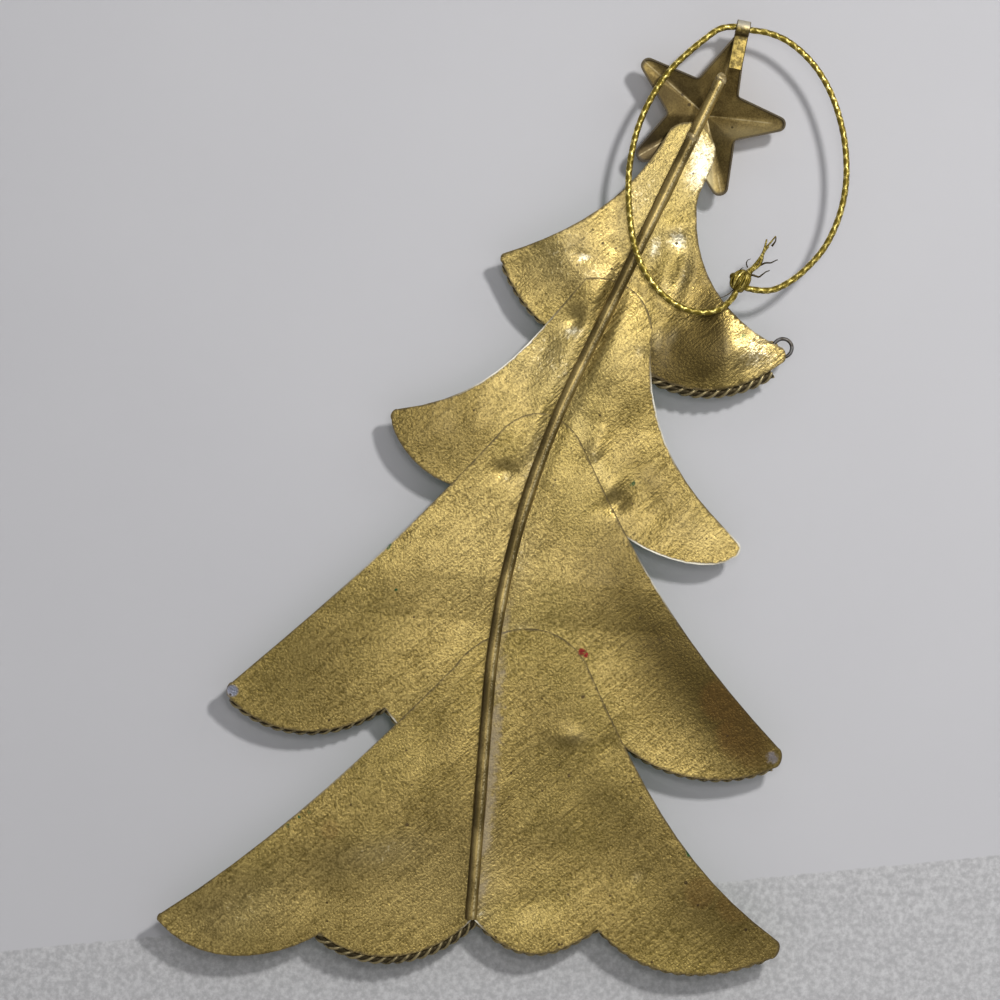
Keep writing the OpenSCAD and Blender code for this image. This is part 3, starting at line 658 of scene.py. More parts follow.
def soft_spots(spots, points):
    """Sum of how much exp(-distance squared) for each spot, never over 1."""
    found = 0
    for across, down, half_long, half_wide, turned, much in spots:
        along, beside = from_spot(points[:, 0] / MM, points[:, 2] / MM, across, down, turned)
        found = found + much * np.exp(-(along / half_long) ** 2 - (beside / half_wide) ** 2)
    return np.clip(found, 0, 1)


for title, table in (("painted_shade", PAINTED_SHADE_SPOTS), ("painted_highlight", PAINTED_HIGHLIGHT_SPOTS), ("glinting", PAINTED_EDGE_GLINTS)):
    print(title, "places:", sum(len(spots) for spots in table.values()))


# %% Bending the sheets
def dented_sheet(node, name):
    """A sheet in cells, pushed by the depth function, with what its paint has to know."""
    sheet = mesh_of(cells_of(node, CELL), name)
    points = points_of(sheet)
    # painted shade, painted highlights and painted edge glints from the tables above, and the distance
    # from the cut edge
    mark(sheet, "painted_shade", soft_spots(PAINTED_SHADE_SPOTS[node], points))
    mark(sheet, "painted_highlight", soft_spots(PAINTED_HIGHLIGHT_SPOTS[node], points))
    from_edge = edge_distance(points, edge_points_of(sheet)) / MM
    mark(sheet, "from_edge", np.clip(from_edge, 0, 10))
    mark(sheet, "painted_glint", soft_spots(PAINTED_EDGE_GLINTS[node], points))
    points[:, 1] += push(points[:, 0], points[:, 2])
    set_points(sheet, points)
    shade(sheet, 40)
    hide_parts(node)
    print(name, len(sheet.data.polygons), "triangles")
    return sheet


sheets = [dented_sheet(node, name) for node, name in (
    ("tier_top", "sheet_top"), ("tier_upper", "sheet_upper"),
    ("tier_lower", "sheet_lower"), ("tier_bottom", "sheet_bottom"))]

# %% [markdown]
# ## The rod
# The rod is plain 3.2 mm wire, straight at both ends and bent between them, and its ends are cut
# with a worn edge. A circle is carried along its middle line. Low, long ripples in its radius
# keep the highlight from running dead straight. Each point keeps how far it is to the right, and
# how much painted shade darkens it: brown on the left side, away from the key lamp, growing
# towards the foot.

# %% The rod
ROD_SIDES = 32
END_WORN, WORN_OVER, RIPPLE = 0.12, 0.3, 0.012
LEFT_SHADE_FROM, LEFT_SHADE_TO = 60, 160
rod_path = np.stack([rod_line[:, 0], np.zeros(len(rod_line)), rod_line[:, 1]], axis=-1) * MM
along = np.arange(len(rod_path)) * ROD_STEP
worn = 1 - END_WORN * (np.exp(-along / WORN_OVER) + np.exp(-(along[-1] - along) / WORN_OVER))
ripple = 1 - RIPPLE * (1 + np.sin(along * 0.9) * np.sin(along * 0.37))
rod = piece("rod_bent", *tube(rod_path, ROD_R * MM * worn * ripple, ROD_SIDES), slot="gilt_rod")
shade(rod, 60)
rod_side = np.tile(np.cos(turns(ROD_SIDES)), (len(rod_path), 1))
mark(rod, "side", rod_side.ravel())
# painted shade on the rod's left side, away from the key lamp, growing towards the foot
left_shade = 0.3 + 0.5 * ease(along, LEFT_SHADE_FROM, LEFT_SHADE_TO)
mark(rod, "dark", (ease(-rod_side, 0.25, 0.8) * left_shade[:, None]).ravel())
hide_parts("stem_rod")
print("rod length in mm:", round(along[-1], 1))

# %% [markdown]
# ## Rope trims
# Wires twisted together are soldered along each hem, on the front. Seen from the back they show
# as a dark rope with thin bright ridges. The hem is a row of lobes, each a cubic curve between
# two corners. The rope's middle line is the hem moved out or in by a share of its radius, with
# the notches bent round. A core and three thin wires wound round it follow that line, and the
# core is painted dark as the shade between the wires.

# %% The hems
ROPE_R, HEM_STEP, ROPE_STEP, LEFT_CUT = 1.5, 0.5, 0.25, 0.8
# in mm a tier's width, its height and its crown's height, then the crown's shift from the rod in
# shares of the width, how far out the rope of each lobe lies in shares of its radius, in mm the
# cut at the right end and the depth, and for each lobe the corner across and down in shares and
# the two handles' places along and out from the chord; the last row is the right tip
HEMS = {
    "top": (75, 70.6, -24.5, -0.035, [-0.5, 0.45], 3.85, 2.65, [
        (-0.658, 0.521, 0.58, 0.35, 0.93, 0.14), (-0.322, 0.796, 0.29, 0.19, 0.64, 0.36),
        (0.325, 0.896, 0, 0, 0, 0)]),
    "upper": (92, 77.4, -63.1, -0.018, [-1, -1, -1], 0.8, 2.65, [
        (-0.658, 0.509, 0.05, 0.10, 0.58, 0.42), (-0.350, 0.736, 0.15, 0.25, 0.78, 0.26),
        (-0.026, 0.851, 0.10, 0.18, 0.84, 0.24), (0.319, 0.980, 0, 0, 0, 0)]),
    "lower": (146, 97, -100.4, -0.035, [-0.25, -0.5, -0.5, -0.5], 0.8, 2.65, [
        (-0.561, 0.774, 0.16, 0.17, 0.57, 0.32), (-0.280, 0.804, 0.31, 0.37, 0.71, 0.36),
        (-0.093, 0.847, 0.31, 0.36, 0.83, 0.20), (0.137, 0.891, 0.30, 0.20, 0.72, 0.20),
        (0.421, 0.967, 0, 0, 0, 0)]),
    "bottom": (163.6, 90.3, -157.4, 0.053, [-1, 0.45, -0.5, -0.6], 0.8, 2.1, [
        (-0.597, 0.852, 0.30, 0.30, 0.76, 0.17), (-0.337, 0.890, 0.35, 0.33, 0.80, 0.18),
        (-0.091, 0.846, 0.38, 0.36, 0.65, 0.28), (0.109, 0.878, 0.26, 0.20, 0.56, 0.26),
        (0.387, 0.963, 0, 0, 0, 0)])}
NOTCH_STEPS = 2
print("lobes on each hem:", {hem: len(values[-1]) - 1 for hem, values in HEMS.items()})


# %% The ropes' middle lines
def lobe(a, b, handles, out):
    """Cubic curve from corner a to corner b, moved out."""
    chord = b - a
    outwards = np.array([chord[1], -chord[0]])
    p = a + handles[0] * chord + handles[1] * outwards
    q = a + handles[2] * chord + handles[3] * outwards
    curve = cubic(a, p, q, b, np.linspace(0, 1, CURVE_STEPS + 1)[:, None])
    step = unit(np.gradient(curve, axis=0))
    return curve + out * np.stack([step[:, 1], -step[:, 0]], axis=-1)


def averaged(path, reach):
    """Each point becomes the mean of its neighbours within the reach, fewer near the ends."""
    total = np.concatenate([np.zeros((1, 2)), np.cumsum(path, axis=0)])
    i = np.arange(len(path))
    m = np.minimum(reach, np.minimum(i, len(path) - 1 - i))
    return (total[i + m + 1] - total[i - m]) / (2 * m + 1)[:, None]


def hem_line(hem):
    """The rope's middle line along a tier's hem, in even steps."""
    width, height, crown_z, crown_share, outs, right_cut, _, rows = HEMS[hem]
    crown = np.array([rod_x(crown_z) + crown_share * width, crown_z])
    corners = [crown + np.array([row[0] * width, -row[1] * height]) for row in rows]
    raw = np.concatenate([lobe(corners[k], corners[k + 1], rows[k][2:], outs[k] * ROPE_R)
                          for k in range(len(outs))])
    line = averaged(averaged(evenly(raw, HEM_STEP), NOTCH_STEPS), NOTCH_STEPS)
    fine = evenly(line, ROPE_STEP)
    return fine[round(LEFT_CUT / ROPE_STEP):len(fine) - round(right_cut / ROPE_STEP)]


# %% Winding the ropes
STRAND_R, STRAND_AT, CORE_R = 0.42, 1.08, 1.12
STRANDS, STRAND_SIDES, CORE_SIDES = 3, 7, 10
ROPE_PITCH, CORE_WAVE = 9.3, 0.04


def rope(hem):
    """A core and three wires that wind round it: path + r (cos(a) side + sin(a) up)."""
    front = HEMS[hem][6]
    line = hem_line(hem) * MM
    path = np.stack([line[:, 0], (front + ROPE_R) * MM + push(line[:, 0], line[:, 1]), line[:, 1]],
                    axis=-1)
    side, up = frames(path)
    turn = np.arange(len(path)) * ROPE_STEP * 2 * np.pi / ROPE_PITCH
    parts = [tube(path, CORE_R * MM * (1 - CORE_WAVE + CORE_WAVE * np.sin(turn * 9)), CORE_SIDES)]
    for start in turns(STRANDS):
        angle = (turn + start)[:, None]
        parts.append(tube(path + STRAND_AT * MM * (np.cos(angle) * side + np.sin(angle) * up),
                          STRAND_R * MM, STRAND_SIDES))
    made = piece("rope_wire_" + hem, *join(parts), slot="rope_gilt")
    core_points = len(parts[0][0])
    mark(made, "crest", np.arange(len(made.data.vertices)) >= core_points)
    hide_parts("rope_" + hem)
    print(made.name, "length in mm:", round(len(path) * ROPE_STEP, 1))
    return made


ropes = [rope(hem) for hem in HEMS]

# %% [markdown]
# ## The star
# The star is pressed from thin sheet: five ridges and five valleys meet in its middle, and its
# hollow faces the camera. Its outline is a closed curve C(v). A shell is the set of points
# u C(v) for u from 0 to 1, with a height that falls from the middle to the rim. The outer and the
# inner shell are joined at the rim, and the creases are rounded by smoothing the outline first.

# %% The star's outline
# its ten corners as places in the picture: every other one is a tip before it is rounded
STAR_CORNERS = [(749, 19), (698.5, 77.5), (630.5, 48.5), (667.5, 112.5), (622.5, 165), (690, 155),
                (725, 211.5), (735.5, 140), (803, 126.5), (739, 96)]
STAR_TIP_CUT, STAR_TIP_SHARE, STAR_POINTS = 6.0, 0.3, 400
star_corners = np.array([on_plane(*place) for place in STAR_CORNERS]) / MM - STAR_AT


def star_outline():
    """Corners of the star in even steps; a tip is the cubic curve from a to b on its two sides,
    with handles that point at the tip's corner, which is nearly an arc."""
    u = np.linspace(0, 1, 17)[:, None]
    points = []
    for k, p in enumerate(star_corners):
        a, b = (p + STAR_TIP_CUT * unit(star_corners[(k + side) % 10] - p) for side in (-1, 1))
        leave, reach = a + STAR_TIP_SHARE * (p - a), b + STAR_TIP_SHARE * (p - b)
        points.append(p[None] if k % 2 else cubic(a, leave, reach, b, u))
    points = np.concatenate(points)
    return evenly(np.concatenate([points, points[:1]]), count=STAR_POINTS + 1)[:-1]


def ring_mean(points, reach):
    """Each point of a closed line becomes the mean of its neighbours."""
    window = np.arange(-reach, reach + 1)
    return points[(np.arange(len(points))[:, None] + window) % len(points)].mean(axis=1)


outline = ring_mean(star_outline(), 1)
print("star across in mm:", np.round(np.ptp(outline, axis=0), 1))

# %% The star's shell
STAR_DEPTH, STAR_RIM, STAR_WALL = 6.5, 0.8, 0.42
RIM_Y, NO_FOLD, MIDDLE_ROUND = 2.1, 9, 0.03
along_edge = unit(np.roll(outline, -1, axis=0) - np.roll(outline, 1, axis=0))
inwards = np.stack([-along_edge[:, 1], along_edge[:, 0]], axis=-1)
inside_edge = ring_mean(outline + STAR_WALL * inwards, 2)
levels = np.array([0.004, 0.05, 0.15, 0.3, 0.45, 0.6, 0.75, 0.88, 0.96, 1.0])


def shell(edge, rim, depth):
    """Rings u C(v), at the height rim + depth (1 - u), rounded near the middle."""
    height = rim + depth * (1 - np.sqrt(levels ** 2 + MIDDLE_ROUND ** 2))
    flat = levels[:, None, None] * edge[None] + STAR_AT
    return np.concatenate([flat[..., :1], np.broadcast_to(
        (RIM_Y + height)[:, None, None], flat[..., :1].shape), flat[..., 1:]], axis=-1)


outer = shell(outline, STAR_RIM, STAR_DEPTH - STAR_RIM)
inner = shell(inside_edge, STAR_RIM, STAR_DEPTH - STAR_RIM - STAR_WALL)[::-1]
lip = outer[-1:].copy(), inner[:1].copy()
for edge in lip:
    edge[..., 1] = RIM_Y
rings = np.concatenate([outer, lip[0], lip[1], inner]) * MM
star_points, around = rings.reshape(-1, 3), len(outline)
star = piece("star_pressed", star_points, grid_quads(len(rings), around),
             [np.arange(around)[::-1], (len(rings) - 1) * around + np.arange(around)],
             slot="star_gilt")
shade(star, 28)
in_hollow = np.repeat(np.arange(len(rings)) >= len(outer) + 2, around)
mark(star, "hollow", in_hollow)
lip_rows = np.zeros(len(rings))
lip_rows[len(outer) - 1:len(outer) + 3] = 1
mark(star, "lip", np.repeat(lip_rows, around))
from_middle = star_points[:, [0, 2]] / MM - STAR_AT
folds = unit(star_corners[::2])
ahead = from_middle @ folds.T
beside_fold = np.abs(from_middle[:, :1] * folds[:, 1] - from_middle[:, 1:] * folds[:, 0])
mark(star, "from_fold", np.where(ahead > 0, beside_fold, NO_FOLD).min(axis=1))
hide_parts("star")
print("star points:", len(star.data.vertices))

# %% [markdown]
# ## The strap with the eye
# A strip of sheet lies on the star's top arm, and its end is curled towards the camera into an
# eye. A rounded flat section is carried up the strip and round the curl. Across the strip is the
# direction that leans with the star's arm. Its paint is dark at the rims, a painted shadow lies
# below the curl where the cord passes, and a painted highlight lies on the curl.

# %% The strap
STRAP_T, STRAP_W, STRAP_L, STRAP_ROUND = 0.6, 3.7, 10.6, 0.2
CURL_R, CURL_TURN = 1.8, 305
# height in mm and half-width of the band of painted shadow below the curl and of the band of painted
# highlight on it
CURL_SHADOW_BAND, CURL_HIGHLIGHT_BAND = (-1.5, 0.7), (1.1, 0.8)
curl = np.radians(np.linspace(0, CURL_TURN, 60))
flat_part = np.linspace(-STRAP_L, 0, 20, endpoint=False)
strip = np.concatenate([np.stack([np.full(20, CURL_R), flat_part], axis=-1),
                        CURL_R * np.stack([np.cos(curl), np.sin(curl)], axis=-1)])
corner_turn = np.linspace(0, np.pi / 2, 5)
section = np.concatenate([
    np.stack([sx * (STRAP_W / 2 - STRAP_ROUND) + STRAP_ROUND * np.cos(corner_turn + start),
              sy * (STRAP_T / 2 - STRAP_ROUND) + STRAP_ROUND * np.sin(corner_turn + start)], axis=-1)
    for sx, sy, start in ((1, 1, 0), (-1, 1, np.pi / 2), (-1, -1, np.pi), (1, -1, 3 * np.pi / 2))])
run = unit(np.gradient(strip, axis=0))
thick = np.stack([run[:, 1], -run[:, 0]], axis=-1)
depth_and_up = strip[:, None, :] + section[None, :, 1:] * thick[:, None, :]
across = np.broadcast_to(section[None, :, 0], depth_and_up.shape[:2])
up_leaning = np.array([np.sin(EYE_LEAN), 0, np.cos(EYE_LEAN)])
strap_points = (across[..., None] * eye_side + depth_and_up[..., 1:] * up_leaning
                + depth_and_up[..., :1] * np.array([0, 1.0, 0])) * MM
strap = piece("strap_curled", strap_points.reshape(-1, 3), grid_quads(len(strip), len(section)),
              [np.arange(len(section)), (len(strip) - 1) * len(section) + np.arange(len(section))],
              slot="gilt_rod")
shade(strap, 50)
strap_up = np.repeat(strip[:, 1], len(section))
mark(strap, "rim", np.tile(section[:, 0] / (STRAP_W / 2), len(strip)))
# painted shadow below the curl, where the cord passes, and painted highlight on the curl
for name, (height, half_wide) in (("dark", CURL_SHADOW_BAND), ("curl_highlight", CURL_HIGHLIGHT_BAND)):
    mark(strap, name, np.exp(-((strap_up - height) / half_wide) ** 2))
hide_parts("hanger_strap")
print("strap points:", len(strap.data.vertices))

# %% [markdown]
# ## The ring at the top tier's tip
# A small ring of bare steel wire stands at the right tip, to hang something from. It is a circle
# carried round a circle, a little out of round as bent wire is.

# %% The ring
ring_low, ring_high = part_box("tip_ring")
ring_at = (np.array(ring_low) + np.array(ring_high)) / 2
RING_R, WIRE_R = 2.45 * MM, 0.5 * MM
RING_STEPS, WIRE_SIDES = 96, 14
round_turn = turns(RING_STEPS)
ring_shift = push(ring_at[0] - RING_R, ring_at[2])
loop_r = RING_R * (1 + 0.02 * np.sin(2 * round_turn + 0.6))
loop = ring_at + np.stack([loop_r * np.cos(round_turn), np.full(RING_STEPS, ring_shift),
                           loop_r * np.sin(round_turn)], axis=-1)
outward_way = unit(loop - loop.mean(axis=0))
small = turns(WIRE_SIDES)
ring_points = loop[:, None] + WIRE_R * (np.cos(small)[None, :, None] * outward_way[:, None]
                                        + np.sin(small)[None, :, None] * np.array([0, 1.0, 0]))
quads = grid_quads(RING_STEPS + 1, WIRE_SIDES) % (RING_STEPS * WIRE_SIDES)
ring = piece("ring_wire", ring_points.reshape(-1, 3), quads, slot="ring_steel")
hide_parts("tip_ring")
print("ring middle in mm:", np.round(ring_at / MM, 1))

# %% [markdown]
# ## Solder
# Solder freezes in lumps. Each lump takes the form of its CAD node, cut into small cells, and is
# pushed along its normals by a sum of sines in many directions, which is a smooth random field.

# %% Roughened copies of the solder
# a gap in steps of the rod's line parts two seams; their half-width in mm that the rod hides, and
# the share that is kept of what stands out beyond that
SEAM_GAP, SEAM_HIDDEN, SEAM_SHOWN = 12, 1.4, 0.5


def ripples(points, length, seed):
    """Sum of eight sines with random directions and phases, from -1 to 1 or so."""
    draw = np.random.default_rng(seed)
    ways = unit(draw.normal(size=(8, 3))) * 2 * np.pi / length
    return np.sin(points @ ways.T + draw.uniform(0, 2 * np.pi, 8)).sum(axis=1) / 4


def taper_seams(points):
    """Seams narrow towards both ends, so that they come out from behind the rod and go back."""
    flat = points[:, [0, 2]] / MM
    gap = np.linalg.norm(flat[:, None] - rod_line[None, ::2], axis=2)
    nearest = gap.argmin(axis=1) * 2
    at = np.sort(np.unique(nearest))
    starts = at[np.concatenate([[True], np.diff(at) > SEAM_GAP])]
    run = np.searchsorted(starts, nearest, side="right") - 1
    ends = np.array([nearest[run == k].max() for k in range(len(starts))])
    share = (nearest - starts[run]) / np.maximum(ends - starts, 1)[run]
    offset = flat - rod_line[nearest]
    width = np.maximum(np.linalg.norm(offset, axis=1), 1e-6)
    kept = np.minimum(width, SEAM_HIDDEN + SEAM_SHOWN * (width - SEAM_HIDDEN).clip(0)
                      * np.sqrt(np.sin(np.pi * share.clip(0, 1))))
    points = points.copy()
    points[:, [0, 2]] = (rod_line[nearest] + offset * (kept / width)[:, None]) * MM
    return points


def lumpy(node, name, cell, depth, length, seed, shrink=1.0):
    """A copy of a solder node in cells, its points pushed out by ripples of a depth and length."""
    lump = mesh_of(cells_of(node, cell), name)
    points = points_of(lump)
    middle = (points.min(axis=0) + points.max(axis=0)) / 2
    points = middle + shrink * (points - middle)
    if node == "stem_solder":
        points = taper_seams(points)
    normals = values_of(lump.data.vertices, "normal")
    points = points + (depth * ripples(points, length, seed))[:, None] * normals
    points[:, 1] += push(points[:, 0], points[:, 2])
    set_points(lump, points)
    shade(lump, 60)
    # the seams wear the sheets' paint: no painted edge shade there, and a tenth of the painted
    # highlight's pale colour everywhere
    mark(lump, "from_edge", np.full(len(points), 3.0))
    mark(lump, "painted_highlight", np.full(len(points), 0.1))
    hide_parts(node)
    print(name, len(lump.data.polygons), "triangles")
    return lump


solder = [lumpy("stem_solder", "solder_seams", 0.9 * MM, 0.06 * MM, 4 * MM, 3),
          lumpy("crown_solder", "solder_crown", 0.4 * MM, 0.22 * MM, 1.9 * MM, 5, 0.86),
          lumpy("rod_end_solder", "solder_rod_end", 0.5 * MM, 0.22 * MM, 2.0 * MM, 11, 0.8),
          lumpy("ring_solder", "solder_ring", 0.4 * MM, 0.1 * MM, 1.8 * MM, 8)]

# %% [markdown]
# ## Shader arithmetic
# Materials are formulas of a place on the metal. A small class wraps a socket so that formulas can
# be written as Python expressions: each operator adds one Math node. Every other node comes from
# one method that takes its type, its settings and the values or links of its sockets.

# %% A number that varies over the metal
class Value:
    """A number that varies over the surface."""

    def __init__(self, maker, socket):
        self.maker, self.socket = maker, socket

    def _math(self, operation, *terms):
        return self.maker.node("ShaderNodeMath", {"operation": operation},
                               dict(enumerate(terms))).outputs[0]

    def _do(self, operation, *terms):
        return Value(self.maker, self._math(operation, *terms))

    def __add__(self, other):
        return self._do("ADD", self, other)

    def __sub__(self, other):
        return self._do("SUBTRACT", self, other)

    def __rsub__(self, other):
        return self._do("SUBTRACT", other, self)

    def __mul__(self, other):
        return self._do("MULTIPLY", self, other)

    def __pow__(self, other):
        return self._do("POWER", self, other)

    __radd__ = __add__

    def above(self, other):
        return self._do("MAXIMUM", self, other)

    def below(self, other):
        return self._do("MINIMUM", self, other)

    def size(self):
        return self._do("ABSOLUTE", self)


print("formulas can be written")


# %% A material and the nodes that make it
class Finish:
    """One material and the nodes that make it."""

    def __init__(self, name):
        self.material = bpy.data.materials.new(name)
        self.material.use_nodes = True
        self.tree = self.material.node_tree
        self.tree.nodes.clear()
        self.place = self.node("ShaderNodeTexCoord", {}, {}).outputs["Object"]

    def node(self, kind, settings, sockets):
        made = self.tree.nodes.new(kind)
        stops = settings.pop("stops", None)
        for key, value in settings.items():
            setattr(made, key, value)
        if stops:
            ramp = made.color_ramp
            while len(ramp.elements) < len(stops):
                ramp.elements.new(0.5)
            for element, (at, colour) in zip(ramp.elements, stops):
                element.position, element.color = at, (*colour, 1)
        for key, value in sockets.items():
            value = value.socket if isinstance(value, Value) else value
            if isinstance(value, bpy.types.NodeSocket):
                self.tree.links.new(value, made.inputs[key])
            else:
                made.inputs[key].default_value = value
        return made

    def value(self, socket):
        return Value(self, socket)

    def noise(self, size, detail=2.0, roughness=0.5, stretch=None, turn=(0, 0, 0), distortion=0.0):
        """Noise whose blobs are about this size in metres, from 0 to 1. A texture mapping turns
        the place first and stretches it after, so that blobs are drawn out along the turned X."""
        place = self.place
        if stretch:
            place = self.node("ShaderNodeMapping", {"vector_type": "TEXTURE"}, {
                "Vector": place, "Rotation": turn, "Scale": stretch}).outputs[0]
        return self.value(self.node("ShaderNodeTexNoise", {}, {
            "Vector": place, "Scale": 1 / size, "Detail": detail, "Roughness": roughness,
            "Distortion": distortion}).outputs["Fac"])

    def specks(self, size):
        """Distance from scattered points, in shares of their spacing."""
        return self.value(self.node("ShaderNodeTexVoronoi", {}, {
            "Vector": self.place, "Scale": 1 / size}).outputs["Distance"])

    def step(self, value, low, high):
        """The smooth step of a value between two levels."""
        return self.value(self.node("ShaderNodeMapRange", {
            "interpolation_type": "SMOOTHSTEP"}, {
            "Value": value, "From Min": low, "From Max": high}).outputs[0])

    def mix(self, share, first, second):
        """Colour between the first, at 0, and the second, at 1."""
        made = self.node("ShaderNodeMix", {"data_type": "RGBA"}, {0: share})
        for index, colour in ((6, first), (7, second)):
            if isinstance(colour, tuple):
                made.inputs[index].default_value = (*colour, 1)
            else:
                self.tree.links.new(colour, made.inputs[index])
        return made.outputs[2]

    def layered(self, colour, *coats):
        """The colour under coats, each a share and a colour that is mixed in over the others."""
        for share, coat in coats:
            colour = self.mix(share, colour, coat)
        return colour

    def xyz(self):
        parts = self.node("ShaderNodeSeparateXYZ", {}, {"Vector": self.place}).outputs
        return [self.value(part) for part in parts]

    def kept(self, name):
        return self.value(self.node("ShaderNodeAttribute", {"attribute_name": name}, {}).outputs["Fac"])

    def near(self, spots, x, z):
        """1 in the middle of each spot and 0 at its radius; spots are picture places and mm."""
        found = None
        for across, down, radius in spots:
            at = on_plane(across, down)
            gap = ((x - float(at[0])) ** 2 + (z - float(at[1])) ** 2) * (1 / (radius * MM) ** 2)
            spot = self.step(gap, 1.0, 0.3)
            found = spot if found is None else found.above(spot)
        return found

    def bump(self, height, distance, strength):
        return self.node("ShaderNodeBump", {}, {
            "Height": height, "Distance": distance, "Strength": strength}).outputs[0]

    def finish(self, sockets):
        shader = self.node("ShaderNodeBsdfPrincipled", {}, {
            key: (*value, 1) if isinstance(value, tuple) and len(value) == 3 else value
            for key, value in sockets.items()})
        output = self.node("ShaderNodeOutputMaterial", {}, {})
        self.tree.links.new(shader.outputs[0], output.inputs[0])
        return self.material


def painted(material, *things):
    """Gives things a material, after those that they have."""
    for thing in things:
        thing.data.materials.append(material)


print("materials can be written")

# %% [markdown]
# ## Gilt paint on the sheets
# Bronze powder paint, brushed on: flakes lie in a fine sandy grain, and strokes run mostly from
# lower left to upper right. A dark line of painted shade runs along the cut edges. Brown patches
# are painted shade where the real metal is turned from the lamps, one of them the cord's shadow,
# and pale patches, white flecks and bright edge lines are painted highlights. Specks of dust,
# drops of green and red, blue and grey tips, brown rust stains and grey flux beside the rod's foot
# are all on the back, and each is a mask that mixes one more colour in.

# %% Spots and colours
# spots on the paint: place in the picture and radius in mm
RUST = [(745, 735, 9), (722, 700, 7), (700, 893, 5), (755, 752, 6), (735, 905, 6), (330, 830, 3)]
GREEN = [(309, 812, 0.6), (288, 826, 0.7), (632, 483, 1.1), (388, 546, 1.2), (690, 853, 1.4),
         (744, 336, 0.7), (299, 817, 0.5), (590, 330, 0.6), (715, 872, 1.0), (396, 590, 0.5),
         (677, 243, 0.5)]
RED = [(582, 652, 1.2), (586, 655, 0.9)]
BLUE_TIP, GREY_TIP = [(232, 691, 1.9)], [(772, 758, 2.0)]
DIRT = [(407, 825, 0.6), (569, 776, 0.5), (583, 697, 0.6), (677, 243, 0.5), (616, 248, 0.4),
        (641, 798, 0.5), (686, 883, 0.6), (746, 930, 0.5), (603, 243, 0.5), (559, 945, 0.5),
        (640, 618, 0.35), (600, 415, 0.4), (660, 640, 0.3)]
# colours of the paint, of its painted shade and painted highlights, and of the stains
BRONZE_DARK, BRONZE, OLIVE = (0.12, 0.082, 0.013), (0.51, 0.38, 0.125), (0.27, 0.22, 0.045)
PAINTED_SHADE_BROWN, PAINTED_HIGHLIGHT_PALE, HIGHLIGHT_FLECK_WHITE = (0.085, 0.058, 0.012), (0.62, 0.52, 0.30), (0.84, 0.77, 0.56)
RUST_BROWN, EDGE_SHADE_BROWN, PAINTED_GLINT_WHITE = (0.20, 0.085, 0.02), (0.06, 0.042, 0.016), (0.92, 0.88, 0.74)
DEEP_GREEN, DARK_RED = (0.012, 0.06, 0.02), (0.2, 0.016, 0.012)
BLUE_GREY, WARM_GREY = (0.17, 0.19, 0.26), (0.2, 0.175, 0.165)
FLUX_GREY, DUST_BROWN = (0.36, 0.30, 0.22), (0.05, 0.03, 0.012)
# the grey flux beside the rod's foot: where it begins and ends across, in mm, and in height
FLUX_ACROSS, FLUX_FADE = (1.0, 1.8), (5.0, 2.0)
FLUX_TOP, FLUX_FOOT = (-140, -165), (-238, -226)
print("spots:", [len(spots) for spots in (RUST, GREEN, RED, BLUE_TIP, GREY_TIP, DIRT)])


# %% The sheets' paint
def stroke(maker, size, stretch, degrees, detail=3.0):
    """Noise drawn out along a direction in the plane of the sheets."""
    return maker.noise(size, detail, 0.6, stretch=(stretch, 1, 1), turn=(0, -np.radians(degrees), 0))


